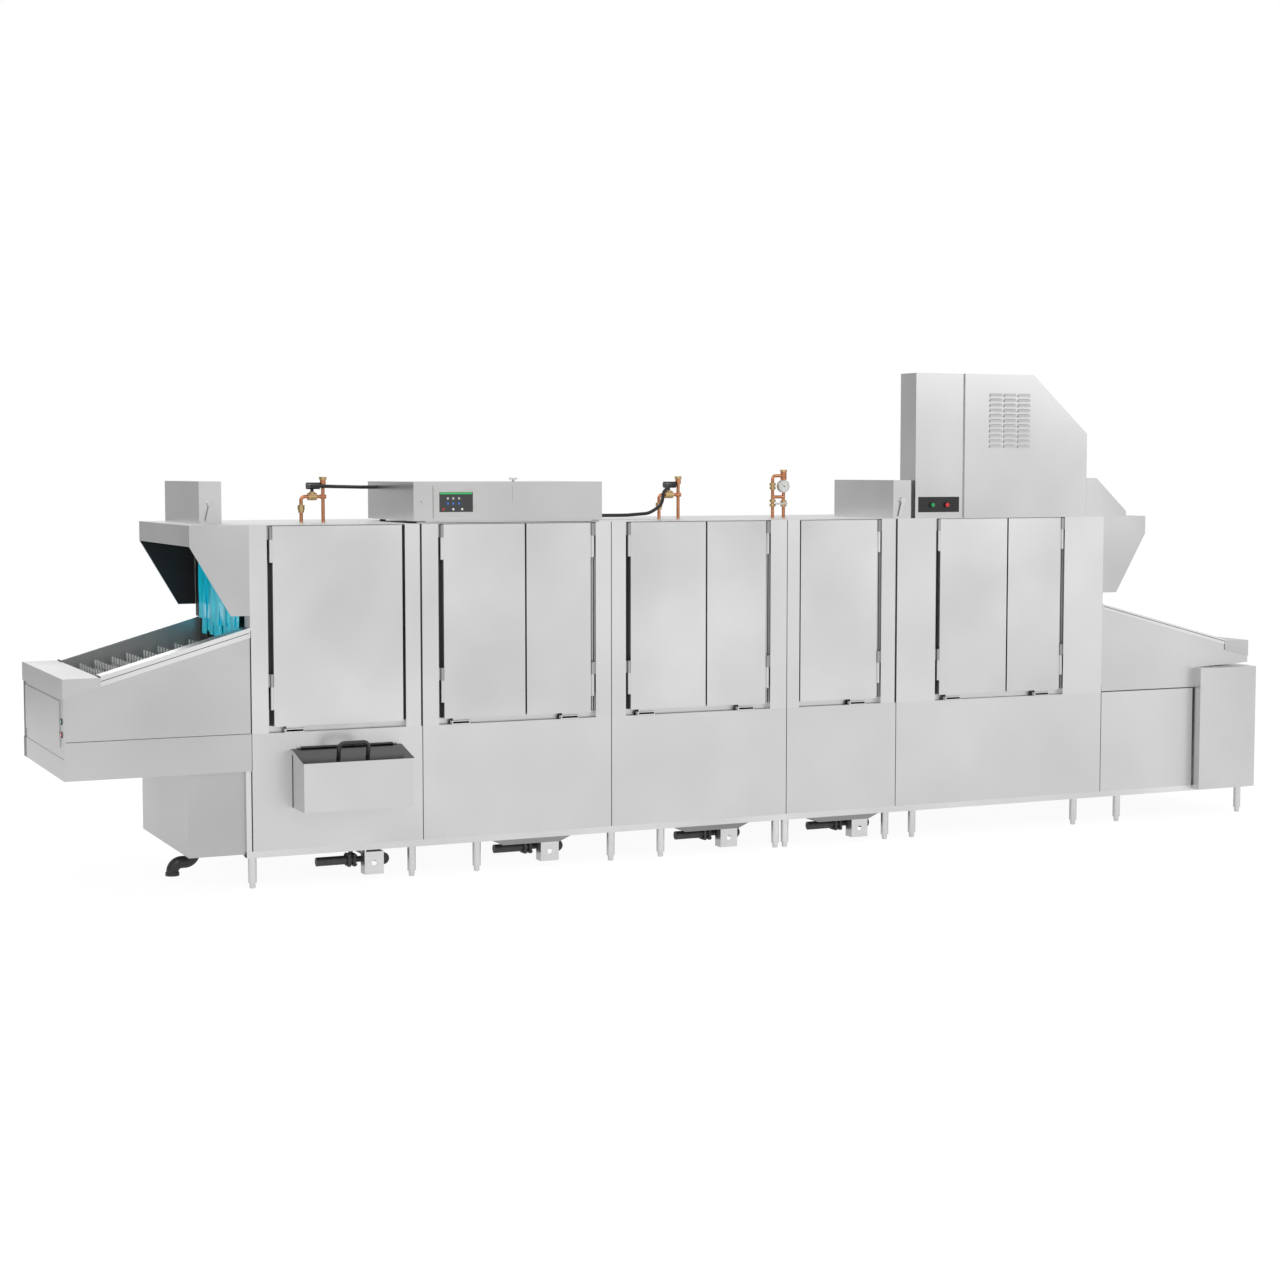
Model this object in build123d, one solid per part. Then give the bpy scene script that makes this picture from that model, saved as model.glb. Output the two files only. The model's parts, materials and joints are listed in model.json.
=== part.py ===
from build123d import *
import os
from math import atan, cos, degrees, pi, sin

# A flight-type conveyor dishwasher, in millimetres.
# While it is laid out, X runs along the machine from the body's load-end wall, Y runs back from its
# front plane and Z up from the floor. Each piece is then moved so that the origin is the middle of
# the machine's footprint.

# Body
prewash_length = 864
wash_length = 1021
rinse_length = 1018
final_rinse_length = 674
dryer_length = 1353
body_depth = 1080
body_top = 1750
lower_panel_top = 750
lower_panel_bottom = 182
sheet = 2
section_gap = 4
post_widths = [(86, 85), (87, 87), (81, 99), (75, 97), (246, 264)]
seam_extras = {0: 6, 3: 8}
post_depth = 60
panel_flange = 25
jamb_width = 26
header_drop = 50
sill_height = 40

# Doors
door_thickness = 32
door_bottom = 780
door_top_gap = 6
door_back_gap = 4
hinge_side_gap = 28
hinge_axis_inset = 10
prewash_free_gap = 15
final_rinse_free_gap = 7
middle_gap = 9
door_splits = {"wash": 551, "rinse": 542, "dryer": 710}
knuckle_radius = 8
hinge_pin_radius = 4
running_clearance = 0.05
hinge_length = 172
frame_knuckle_length = 62
upper_hinge_drop = 2
lower_hinge_rise = 82
handle_width = 98
left_handle_inset = 34
prewash_handle_inset = 48
right_handle_inset = 72
handle_drop = 11
handle_thickness = 18
handle_reach = 12

# Frame, legs and feet
rail_height = 32
rail_width = 50
rail_wall = 3
leg_radius = 20.65
leg_wall = 1.65
foot_radius = 14.5
foot_height = 28
foot_plug = 22

# Tunnel, tanks and wash pipes
tunnel_side = 100
tunnel_bottom = 790
tunnel_top = 1600
tank_inset = 30
tank_front = 80
tank_floor = 345
screen_rows = 5
screen_columns = 8
screen_slot_length = 60
screen_slot_width = 40
arm_radius = 19
arm_wall = 1.5
manifold_radius = 25
upper_arm_height = 1650
lower_arm_height = 900
arm_count = 4
arm_front = 160
manifold_setback = 60
pump_inset = 100
pump_axis_height = 262
pump_axis_depth = 300
pump_motor_radius = 70
pump_motor_length = 240
volute_radius = 75
volute_length = 60
volute_wall = 6
impeller_radius = 60
impeller_thickness = 14
pump_shaft_radius = 8

# Conveyor
sprocket_radius = 40
chain_half_height = 6
chain_width = 12
chain_inset = 38
belt_level = 1120
belt_return = 960
tail_x = -800
tail_belt_height = 946
level_start = 150
level_end_inset = 150
drive_inset = 199
drive_belt_height = 972
flight_pitch = 80
first_flight_inset = 78
last_flight_inset = 172
flight_height = 69
flight_thickness = 4
flight_bar_height = 24
peg_count = 12
peg_width = 10
track_thickness = 4
track_gap = 0.5
shaft_radius = 15
bearing_size = 64
bearing_width = 18
sprocket_teeth = 12
sprocket_thickness = 8
tooth_gap = 0.5

# Load section
load_length = 889
load_floor = 571
load_ledge = 750
trough_floor = 700
load_rail_top = 1261
load_rail_slope = 0.289
load_rail_height = 48
cap_overhang = 4
load_cap_length = 177
load_cap_top = 1048
skirt_thickness = 3
access_panel_thickness = 5
access_panel_bottom = 722
access_panel_top = 940
end_skirt_top = 672

# Hoods and curtains
hood_reach = 287
hood_lip_height = 100
hood_low_reach = 92
hood_low_height = 1318
curtain_strip_width = 74
curtain_strip_gap = 6
curtain_thickness = 3
curtain_bottom = 1172
curtain_set_off = 12
curtain_rod_radius = 6

# Unload section
unload_side_length = 1034
unload_rail_top = 1254
unload_rail_slope = 0.262
unload_rail_height = 30
unload_panel_length = 642
unload_floor = 758
unload_step_floor = 870
unload_end_rise = 18
unload_cap_length = 167
unload_cap_top = 1017
unload_cap_start_height = 52
unload_cap_end_height = 92

# Drive cabinet
cabinet_start = 652
cabinet_width = 402
cabinet_top = 869
cabinet_door_depth = 60
cabinet_door_bottom = 162
cabinet_knuckle_radius = 6
cabinet_hinge_length = 120
motor_drop = 365
gearbox_size = 120
gearbox_length = 105
motor_radius = 70
motor_length = 240
output_shaft_radius = 12
drive_chain_depth = 1000
drive_chain_width = 8
drive_chain_half_height = 5
shelf_thickness = 4

# Preflush tank and drains
preflush_start = -305
preflush_width = 276
preflush_front = 20
preflush_depth = 1000
preflush_bottom = 168
drain_pipe_radius = 30
drain_pipe_wall = 4
elbow_radius = 45
elbow_depth = 300
elbow_inset = 90
elbow_reach = 107
elbow_drop = 63
elbow_hub = 17
sump_drop = 26
sump_bottom_length = 310
sump_slope_length = 60
sump_lead = 265
sump_depth = 500
valve_cover_size = 98
valve_cover_depth = 66
valve_cover_bottom = 28
valve_cover_height = 112
valve_axis_height = 91
valve_axis_depth = 104
flange_size = 62
flange_thickness = 14
flange_bolt_radius = 4
actuator_radius = 22
actuator_length = 155
rear_drain_length = 600

# Outside scrap box
scrap_box_start = 201
scrap_box_length = 545
scrap_box_bottom = 383
scrap_box_back_height = 668
scrap_box_front_height = 620
scrap_box_reach = 196
lid_overhang = 5
lid_gap = 0.3
lid_pin_radius = 3
lid_knuckle_radius = 6
lid_handle_span = 147
lid_handle_height = 66
lid_handle_setback = 130
lid_handle_offset = -9
lid_handle_radius = 10.5
basket_gap = 12

# Control box
control_start = 825
control_length = 1008
control_depth = 725
control_bottom = 1761
control_top = 1953
cover_thickness = 15
cover_pin_radius = 2.5
cover_knuckle_radius = 3.5
bezel_start = 101
bezel_width = 235
bezel_height = 169
bezel_bottom = 8
bezel_thickness = 8
screen_width = 178
screen_height = 100
screen_thickness = 2
pilot_x = 51
pilot_radius = 11
plate_start = 520
plate_width = 320
plate_height = 86
latch_radius = 7
latch_wing = 22

# Vents, blower and duct
cowl_width = 111
cowl_height = 206
cowl_depth = 725
load_cowl_inset = 42
load_cowl_front = 350
unload_cowl_start = 3553
unload_cowl_front = 5
unload_cowl_depth = 645
damper_pivot_height = 96
damper_shaft_radius = 4
damper_hub_radius = 16
damper_arm_length = 86
damper_blade_width = 96
switch_box_start = 3688
switch_box_width = 297
switch_box_depth = 161
blower_top = 2535
blower_start = 4000
blower_flat_length = 446
blower_length = 807
blower_depth = 600
blower_shoulder = 2213
blower_axis_x = 4400
blower_axis_height = 2110
blower_wheel_radius = 170
blower_wheel_length = 280
blower_wheel_front = 150
blower_blade_count = 24
blower_shaft_radius = 10
blower_motor_radius = 85
blower_motor_length = 150
duct_length = 274
duct_flat_length = 68
duct_height = 216
duct_low_height = 29
duct_depth = 500
louvre_rows = 11
louvre_columns = 3
louvre_start_x = 4159
louvre_start_z = 2133
louvre_pitch_x = 92
louvre_pitch_z = 28
louvre_width = 78
louvre_height = 18
louvre_depth = 9
switch_plate_width = 256
switch_plate_height = 83
switch_plate_bottom = 32
switch_plate_thickness = 4

# Push buttons
button_radius = 11
button_length = 12
button_travel = 2.5
button_cap_depth = 2.4
button_ring_width = 4
button_ring_depth = 6
button_spacing = 92
load_button_depth = 54
load_button_high = 846
load_button_low = 784

# Roof plumbing
pipe_radius = 9
fitting_radius = 15
plumbing_depth = 500
riser_spacing = 114
loop_height = 128
breaker_height = 227
breaker_radius = 19
breaker_depth = 14
tee_radius = 15
tee_length = 28
bonnet_height = 24
prewash_riser_x = 402
wash_riser_x = 2387
rinse_riser_x = 3078
rinse_riser_spacing = 68
rinse_top_bridge = 229
rinse_low_bridge = 113
rinse_tee_radius = 17
rinse_tee_length = 45
rinse_cap_height = 11
coil_radius = 17
coil_back = 28
coil_gap = 2
coil_lift = 54
coil_outlet_shift = -20
coil_outlet = 23
conduit_radius = 9
first_entry_setback = 125
first_bends = [13, 60, 60]
second_bends = [11, 30, 60, 100, 400]
gauge_radius = 34
gauge_depth = 24
gauge_height = 172
gauge_shift = -24
valve_lever_length = 60
valve_stud_length = 16
valve_stud_radius = 4
valve_hub_radius = 8

section_lengths = [prewash_length, wash_length, rinse_length, final_rinse_length, dryer_length]
seams = [sum(section_lengths[:count]) for count in range(6)]
body_length = seams[5]
cabinet_x = body_length + cabinet_start
cabinet_end = cabinet_x + cabinet_width
machine_start = -load_length
machine_end = cabinet_end + 2 * cabinet_knuckle_radius
roof_underside = body_top - sheet
post_top = roof_underside
back_face = body_depth - sheet
tunnel_back = body_depth - tunnel_side
frame_top = lower_panel_bottom
frame_bottom = frame_top - rail_height
front_reach = scrap_box_reach + lid_overhang
back_reach = body_depth + cap_overhang
middle_x = (machine_start + machine_end) / 2
middle_y = (back_reach - front_reach) / 2
nodes = {}


def slab(x0, x1, y0, y1, z0, z1):
    return Pos((x0 + x1) / 2, (y0 + y1) / 2, (z0 + z1) / 2) * Box(x1 - x0, y1 - y0, z1 - z0)


def prism_along_y(points, y0, y1):
    face = Face(Wire.make_polygon([(x, y0, z) for x, z in points], close=True))
    return extrude(face, amount=y1 - y0, dir=(0, 1, 0))


def prism_along_x(points, x0, x1):
    face = Face(Wire.make_polygon([(x0, y, z) for y, z in points], close=True))
    return extrude(face, amount=x1 - x0, dir=(1, 0, 0))


def rod(start, direction, length, radius):
    plane = Plane(origin=start, z_dir=direction)
    return plane * Cylinder(radius, length, align=(Align.CENTER, Align.CENTER, Align.MIN))


def tube(start, direction, length, radius, bore):
    return rod(start, direction, length, radius) - rod(start, direction, length, bore)


def bent_rod(points, bend, radius):
    path = FilletPolyline(*points, radius=bend)
    return sweep(Plane(origin=path @ 0, z_dir=path % 0) * Circle(radius), path)


def pan_open_back(x0, x1, y0, y1, z0, z1):
    return slab(x0, x1, y0, y1, z0, z1) - slab(x0 + sheet, x1 - sheet, y0 + sheet, y1, z0 + sheet, z1 - sheet)


def front_and_back(y0, y1, make):
    """The same piece at a distance behind the front plane and at that distance before the back."""
    return [make(y0, y1), make(body_depth - y1, body_depth - y0)]


# ---------------------------------------------------------------- frame, legs and feet
frame_start = -section_gap - rail_width / 2
frame_end = cabinet_end


def frame_tube_x(y0, y1):
    outer = slab(frame_start, frame_end, y0, y1, frame_bottom, frame_top)
    inner = slab(frame_start, frame_end, y0 + rail_wall, y1 - rail_wall, frame_bottom + rail_wall, frame_top - rail_wall)
    return outer - inner


def load_post(y0, y1):
    """The corner post under the load section, between the preflush tank and the body."""
    return slab(-section_gap - panel_flange, -section_gap, y0, y1, frame_top, load_floor)


leg_offsets = [(0, 3), (0, 810), (1, 290), (1, 1027), (2, 290), (2, 966), (3, 5), (3, 624), (4, 122), (4, 1189)]
leg_positions = [seams[section] + offset for section, offset in leg_offsets]
leg_positions += [body_length + 136, cabinet_end - 53]
cross_positions = [x for x, following in zip(leg_positions, leg_positions[1:]) if following - x > rail_width]
cross_positions.append(leg_positions[-1])
rail_front = sheet
rail_back = rail_front + rail_width
nodes["base_frame"] = front_and_back(rail_front, rail_back, frame_tube_x)
for x in cross_positions:
    half = rail_width / 2
    outer = slab(x - half, x + half, rail_back, body_depth - rail_back, frame_bottom, frame_top)
    inner = slab(x - half + rail_wall, x + half - rail_wall, rail_back, body_depth - rail_back,
                 frame_bottom + rail_wall, frame_top - rail_wall)
    nodes["base_frame"].append(outer - inner)
nodes["base_frame"] += front_and_back(rail_front, rail_front + rail_width / 2, load_post)

leg_depths = [rail_front + rail_width / 2, body_depth - rail_front - rail_width / 2]
leg_bore = leg_radius - leg_wall
nodes["legs"] = []
nodes["feet"] = []
for x in leg_positions:
    for y in leg_depths:
        nodes["legs"].append(tube((x, y, foot_height), (0, 0, 1), frame_bottom - foot_height, leg_radius, leg_bore))
        toe = fillet(rod((x, y, 0), (0, 0, 1), foot_height, foot_radius).edges().sort_by(Axis.Z)[0], 6)
        plug = rod((x, y, foot_height), (0, 0, 1), foot_plug, leg_bore - running_clearance)
        nodes["feet"].append(toe + plug)

# ---------------------------------------------------------------- body skins
openings = []
nodes["front_posts"] = []
nodes["door_frames"] = []
for index in range(5):
    start = seams[index] + section_gap / 2
    end = seams[index + 1] - section_gap / 2 - seam_extras.get(index, 0)
    left = seams[index] + post_widths[index][0]
    right = seams[index + 1] - post_widths[index][1]
    openings.append((left, right))
    nodes["front_posts"].append(pan_open_back(start, left, 0, post_depth, lower_panel_top, post_top))
    nodes["front_posts"].append(pan_open_back(right, end, 0, post_depth, lower_panel_top, post_top))
    stop_front = door_thickness + door_back_gap
    stop_back = stop_front + sheet
    sill_top = lower_panel_top + sill_height
    header_bottom = post_top - header_drop
    nodes["door_frames"].append(slab(left, right, stop_front, stop_back, lower_panel_top, sill_top))
    nodes["door_frames"].append(slab(left, right, stop_front, stop_back, header_bottom, post_top))
    nodes["door_frames"].append(slab(left, left + jamb_width, stop_front, stop_back, sill_top, header_bottom))
    nodes["door_frames"].append(slab(right - jamb_width, right, stop_front, stop_back, sill_top, header_bottom))

lower_spans = [(seams[index] + section_gap / 2, seams[index + 1] - section_gap / 2) for index in range(5)]
lower_spans.append((body_length + section_gap / 2, body_length + unload_panel_length))
nodes["lower_panels"] = [
    pan_open_back(x0, x1, 0, panel_flange, lower_panel_bottom, lower_panel_top) for x0, x1 in lower_spans
]
nodes["roof_panels"] = [
    slab(seams[index], seams[index + 1], 0, body_depth, roof_underside, body_top) for index in range(5)
]
nodes["back_panels"] = [
    slab(seams[index], seams[index + 1], back_face, body_depth, frame_bottom, roof_underside) for index in range(5)
]
nodes["back_panels"].append(slab(body_length, cabinet_x, back_face, body_depth, frame_bottom, unload_floor))


def end_wall(x0, x1):
    return [
        slab(x0, x1, panel_flange, back_face, frame_top, tunnel_bottom),
        slab(x0, x1, 0, back_face, tunnel_top, roof_underside),
        slab(x0, x1, 0, tunnel_side, tunnel_bottom, tunnel_top),
        slab(x0, x1, tunnel_back, back_face, tunnel_bottom, tunnel_top),
    ]


nodes["end_walls"] = end_wall(0, section_gap / 2) + end_wall(body_length - section_gap / 2, body_length)
nodes["zone_bulkheads"] = []
for x in seams[1:5]:
    x0 = x - sheet / 2
    x1 = x + sheet / 2
    zone_top = upper_arm_height + manifold_radius
    nodes["zone_bulkheads"].append(slab(x0, x1, post_depth, back_face, zone_top, roof_underside))
    nodes["zone_bulkheads"].append(slab(x0, x1, post_depth, tunnel_side, lower_panel_top, zone_top))
    nodes["zone_bulkheads"].append(slab(x0, x1, tunnel_back, back_face, lower_panel_top, zone_top))

# ---------------------------------------------------------------- doors
door_top = body_top - door_top_gap
hinge_spans = [(door_top - upper_hinge_drop - hinge_length, door_top - upper_hinge_drop)]
hinge_spans.append((door_bottom + lower_hinge_rise, door_bottom + lower_hinge_rise + hinge_length))
door_names = []
door_axes = {}
section_names = ["prewash", "wash", "rinse", "final_rinse", "dryer"]
nodes["hinge_pins"] = []


def add_door(name, x0, x1, side, post_edge, handle_inset):
    """One leaf with its hinge knuckles; side is -1 for a hinge at its low X edge and 1 at its high X edge."""
    shell = slab(x0, x1, 0, door_thickness, door_bottom, door_top)
    core = slab(x0 + sheet, x1 - sheet, sheet, door_thickness, door_bottom + sheet, door_top - sheet)
    liner = slab(x0 + sheet, x1 - sheet, door_thickness - sheet, door_thickness, door_bottom + sheet, door_top - sheet)
    edge = x0 if side < 0 else x1
    axis_x = edge + side * hinge_axis_inset
    pieces = [shell - core, liner]
    for low, high in hinge_spans:
        step = high - frame_knuckle_length
        pin = rod((axis_x, 0, low), (0, 0, 1), hinge_length, hinge_pin_radius)
        barrel = rod((axis_x, 0, step), (0, 0, 1), frame_knuckle_length, knuckle_radius)
        strap_x = sorted([axis_x, post_edge])
        strap = slab(strap_x[0], strap_x[1], knuckle_radius - sheet, knuckle_radius, step, high)
        nodes["hinge_pins"].append(pin + barrel + strap)
        low_step = step - running_clearance * 10
        bore = hinge_pin_radius + running_clearance
        knuckle = rod((axis_x, 0, low), (0, 0, 1), low_step - low, knuckle_radius)
        leaf_x = sorted([axis_x, edge])
        leaf = slab(leaf_x[0], leaf_x[1], 0, sheet, low, low_step)
        pieces.append(knuckle + leaf - rod((axis_x, 0, low), (0, 0, 1), low_step - low, bore))
    handle_low = x0 + handle_inset if side < 0 else x1 - handle_inset - handle_width
    handle_high = handle_low + handle_width
    grip_top = door_bottom - handle_drop
    grip = slab(handle_low, handle_high, -handle_reach, door_thickness / 2, grip_top - handle_thickness, grip_top)
    grip = fillet(grip.edges().filter_by(Axis.Z), handle_thickness / 4)
    web = slab(handle_low + handle_drop, handle_high - handle_drop, sheet, 3 * sheet, grip_top, door_bottom)
    pieces.append(grip + web)
    nodes[name] = pieces
    door_names.append(name)
    door_axes[name] = (axis_x, side)


def add_pair(name, left, right):
    middle = seams[section_names.index(name)] + door_splits[name]
    add_door(name + "_left_door", left + hinge_side_gap, middle - middle_gap / 2, -1, left, left_handle_inset)
    add_door(name + "_right_door", middle + middle_gap / 2, right - hinge_side_gap, 1, right, right_handle_inset)


add_door("prewash_door", openings[0][0] + hinge_side_gap, openings[0][1] - prewash_free_gap, -1, openings[0][0],
         prewash_handle_inset)
add_pair("wash", *openings[1])
add_pair("rinse", *openings[2])
add_door("final_rinse_door", openings[3][0] + final_rinse_free_gap, openings[3][1] - hinge_side_gap, 1, openings[3][1],
         right_handle_inset)
add_pair("dryer", *openings[4])

# ---------------------------------------------------------------- tanks, screens, wash pipes and pumps
nodes["wash_tanks"] = []
nodes["scrap_screens"] = []
nodes["upper_wash_arms"] = []
nodes["lower_wash_arms"] = []
nodes["wash_risers"] = []
nodes["pump_volutes"] = []
nodes["pump_motors"] = []
pump_names = []
pump_axes = {}
pumped_sections = ["prewash", "wash", "rinse"]
tank_back = body_depth - tank_front
tank_top = lower_panel_top - sheet


def arm_set(x0, x1, height, manifold_y):
    manifold = rod((x0, manifold_y, height), (1, 0, 0), x1 - x0, manifold_radius)
    bore = rod((x0 + sheet, manifold_y, height), (1, 0, 0), x1 - x0 - 2 * sheet, manifold_radius - arm_wall)
    pitch = (x1 - x0) / arm_count
    for count in range(arm_count):
        x = x0 + pitch * (count + 0.5)
        manifold += rod((x, arm_front, height), (0, 1, 0), manifold_y - arm_front, arm_radius)
        bore += rod((x, arm_front + sheet, height), (0, 1, 0), manifold_y - arm_front - sheet, arm_radius - arm_wall)
    return manifold - bore


for index in range(4):
    x0 = seams[index] + tank_inset
    x1 = seams[index + 1] - tank_inset
    tank_low = tank_floor - sheet
    nodes["wash_tanks"] += [
        slab(x0 - sheet, x0, panel_flange + sheet, back_face, frame_top, tank_top),
        slab(x1, x1 + sheet, panel_flange + sheet, back_face, frame_top, tank_top),
        slab(x0, x1, tank_front, tank_front + sheet, tank_floor, tank_top),
        slab(x0, x1, tank_back - sheet, tank_back, tank_floor, tank_top),
        slab(x0, x1, tank_front, tank_back, tank_low, tank_floor),
    ]
    screen = slab(x0, x1, post_depth + sheet, tank_back, tank_top, lower_panel_top)
    row_pitch = (tank_back - post_depth) / (screen_rows + 1)
    column_pitch = (x1 - x0) / (screen_columns + 1)
    for row in range(screen_rows):
        for column in range(screen_columns):
            slot_x = x0 + column_pitch * (column + 1)
            slot_y = post_depth + row_pitch * (row + 1)
            screen -= Pos(slot_x, slot_y, tank_top) * Box(screen_slot_length, screen_slot_width, 4 * sheet)
    nodes["scrap_screens"].append(screen)
    manifold_y = body_depth - manifold_setback
    arm_start = x0 + tank_inset
    arm_end = x1 - tank_inset
    nodes["upper_wash_arms"].append(arm_set(arm_start, arm_end, upper_arm_height, manifold_y))
    nodes["lower_wash_arms"].append(arm_set(arm_start, arm_end, lower_arm_height, manifold_y))
    riser_x = x0 + (x1 - x0) / 2
    riser_bore = manifold_radius - arm_wall
    lower_riser = lower_arm_height - manifold_radius - lower_panel_top
    upper_riser = upper_arm_height - lower_arm_height - 2 * manifold_radius
    nodes["wash_risers"].append(
        tube((riser_x, manifold_y, lower_panel_top), (0, 0, 1), lower_riser, manifold_radius, riser_bore))
    nodes["wash_risers"].append(
        tube((riser_x, manifold_y, lower_arm_height + manifold_radius), (0, 0, 1), upper_riser, manifold_radius,
             riser_bore))
    if index == len(pumped_sections):
        continue
    volute_x = x0 + pump_inset
    axis_start = (volute_x, pump_axis_depth, pump_axis_height)
    volute = rod(axis_start, (1, 0, 0), volute_length, volute_radius)
    chamber = rod((volute_x + volute_wall, pump_axis_depth, pump_axis_height), (1, 0, 0),
                  volute_length - 2 * volute_wall, volute_radius - volute_wall)
    suction_length = tank_low - pump_axis_height
    suction_x = volute_x + volute_length / 2
    suction = rod((suction_x, pump_axis_depth, pump_axis_height), (0, 0, 1), suction_length, manifold_radius)
    volute = volute + suction - chamber
    volute -= rod((suction_x, pump_axis_depth, pump_axis_height), (0, 0, 1), suction_length, riser_bore)
    shaft_bore = pump_shaft_radius + running_clearance
    volute -= rod((volute_x + volute_length / 2, pump_axis_depth, pump_axis_height), (1, 0, 0), volute_length, shaft_bore)
    nodes["pump_volutes"].append(volute)
    motor_x = volute_x + volute_length
    motor = rod((motor_x, pump_axis_depth, pump_axis_height), (1, 0, 0), pump_motor_length, pump_motor_radius)
    motor -= rod((motor_x, pump_axis_depth, pump_axis_height), (1, 0, 0), pump_motor_length / 2, shaft_bore)
    nodes["pump_motors"].append(motor)
    name = pumped_sections[index] + "_impeller"
    disc_x = volute_x + (volute_length - impeller_thickness) / 2
    disc = rod((disc_x, pump_axis_depth, pump_axis_height), (1, 0, 0), impeller_thickness, impeller_radius)
    for turn in range(8):
        angle = turn * pi / 4
        notch_y = pump_axis_depth + impeller_radius * cos(angle)
        notch_z = pump_axis_height + impeller_radius * sin(angle)
        disc -= rod((disc_x, notch_y, notch_z), (1, 0, 0), impeller_thickness, impeller_radius / 5)
    disc += rod((disc_x, pump_axis_depth, pump_axis_height), (1, 0, 0), volute_length, pump_shaft_radius)
    nodes[name] = [disc]
    pump_names.append(name)
    pump_axes[name] = (disc_x, pump_axis_depth, pump_axis_height)

# ---------------------------------------------------------------- conveyor
drive_x = body_length + unload_side_length - drive_inset + 78
level_end = body_length - level_end_inset
tail_height = tail_belt_height - sprocket_radius
drive_height = drive_belt_height - sprocket_radius
top_run = [(tail_x, tail_belt_height), (level_start, belt_level), (level_end, belt_level), (drive_x, drive_belt_height)]
return_run = [(tail_x, tail_height - sprocket_radius), (level_start, belt_return), (level_end, belt_return),
              (drive_x, drive_height - sprocket_radius)]


def height_on(run, x):
    for (x0, z0), (x1, z1) in zip(run, run[1:]):
        if x0 <= x <= x1:
            return z0 + (z1 - z0) * (x - x0) / (x1 - x0)


def band(run, low, high, y0, y1):
    """A strip that follows a run, one convex length for each straight, between two heights off it."""
    return [
        prism_along_y([(x0, z0 + low), (x1, z1 + low), (x1, z1 + high), (x0, z0 + high)], y0, y1)
        for (x0, z0), (x1, z1) in zip(run, run[1:])
    ]


def half_ring(x, z, side, radius, thickness, y0, y1, along_x=True):
    ring = tube((x, y0, z), (0, 1, 0), y1 - y0, radius + thickness, radius - thickness)
    reach = 2 * radius
    if along_x:
        x_low = x - reach if side < 0 else x
        return ring & slab(x_low, x_low + reach, y0, y1, z - reach, z + reach)
    z_low = z - reach if side < 0 else z
    return ring & slab(x - reach, x + reach, y0, y1, z_low, z_low + reach)


def sprocket(x, y, z, radius, bore):
    disc = rod((x, y, z), (0, 1, 0), sprocket_thickness, radius)
    for tooth in range(sprocket_teeth):
        angle = 2 * pi * (tooth + 0.5) / sprocket_teeth
        disc -= rod((x + radius * cos(angle), y, z + radius * sin(angle)), (0, 1, 0), sprocket_thickness, radius / 9)
    return disc - rod((x, y, z), (0, 1, 0), sprocket_thickness, bore)


chain_front = tunnel_side + chain_inset
chain_back = chain_front + chain_width


def chain_loop(y0, y1):
    loop = band(top_run, -chain_half_height, chain_half_height, y0, y1)
    loop += band(return_run, -chain_half_height, chain_half_height, y0, y1)
    loop.append(half_ring(tail_x, tail_height, -1, sprocket_radius, chain_half_height, y0, y1))
    loop.append(half_ring(drive_x, drive_height, 1, sprocket_radius, chain_half_height, y0, y1))
    return loop


front_loop, back_loop = front_and_back(chain_front, chain_back, chain_loop)
nodes["conveyor_chains"] = front_loop + back_loop
rail_start = tail_x + 2 * sprocket_radius


def track(y0, y1):
    """The angle that carries the chain, from just past the tail sprocket to just before the drive one."""
    run = [(rail_start, height_on(top_run, rail_start))] + top_run[1:3]
    run.append((drive_x - 2 * sprocket_radius, height_on(top_run, drive_x - 2 * sprocket_radius)))
    top = -chain_half_height - track_gap
    return band(run, top - track_thickness, top, y0, y1)


front_track, back_track = front_and_back(tunnel_side, chain_back, track)
nodes["track_rails"] = front_track + back_track

belt_front = chain_back
belt_back = body_depth - chain_back
peg_pitch = (belt_back - belt_front) / peg_count
flight_start = machine_start + load_cap_length + first_flight_inset
flight_end = drive_x - last_flight_inset
flight_total = int((flight_end - flight_start) / flight_pitch)
nodes["conveyor_flights"] = []
for count in range(flight_total + 1):
    x = flight_start + count * flight_pitch
    base = height_on(top_run, x) - chain_half_height / 2
    shift = peg_pitch / 4 * (1 if count % 2 else -1)
    outline = [(belt_front, base), (belt_back, base), (belt_back, base + flight_bar_height)]
    for peg in reversed(range(peg_count)):
        y = belt_front + peg_pitch * (peg + 0.5) + shift
        outline.append((y + peg_width, base + flight_bar_height))
        outline.append((y + peg_width / 2, base + flight_height))
        outline.append((y - peg_width / 2, base + flight_height))
        outline.append((y - peg_width, base + flight_bar_height))
    outline.append((belt_front, base + flight_bar_height))
    nodes["conveyor_flights"].append(prism_along_x(outline, x - flight_thickness / 2, x + flight_thickness / 2))

sprocket_tip = sprocket_radius - chain_half_height - tooth_gap
bearing_front = tunnel_side
bearing_inner = bearing_front + bearing_width
nodes["shaft_bearings"] = []
for x, z in [(tail_x, tail_height), (drive_x, drive_height)]:
    half = bearing_size / 2
    hole = rod((x, 0, z), (0, 1, 0), body_depth, shaft_radius + running_clearance)
    nodes["shaft_bearings"].append(slab(x - half, x + half, bearing_front, bearing_inner, z - half, z + half) - hole)
    nodes["shaft_bearings"].append(
        slab(x - half, x + half, body_depth - bearing_inner, tunnel_back, z - half, z + half) - hole)
shaft_start = bearing_front + sheet
tail_shaft_length = body_depth - 2 * shaft_start
drive_shaft_end = drive_chain_depth + 2 * drive_chain_width
nodes["tail_shaft"] = [rod((tail_x, shaft_start, tail_height), (0, 1, 0), tail_shaft_length, shaft_radius)]
nodes["drive_shaft"] = [rod((drive_x, shaft_start, drive_height), (0, 1, 0), drive_shaft_end - shaft_start, shaft_radius)]
sprocket_inset = (chain_width - sprocket_thickness) / 2
sprocket_depths = [chain_front + sprocket_inset, body_depth - chain_back + sprocket_inset]
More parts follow.
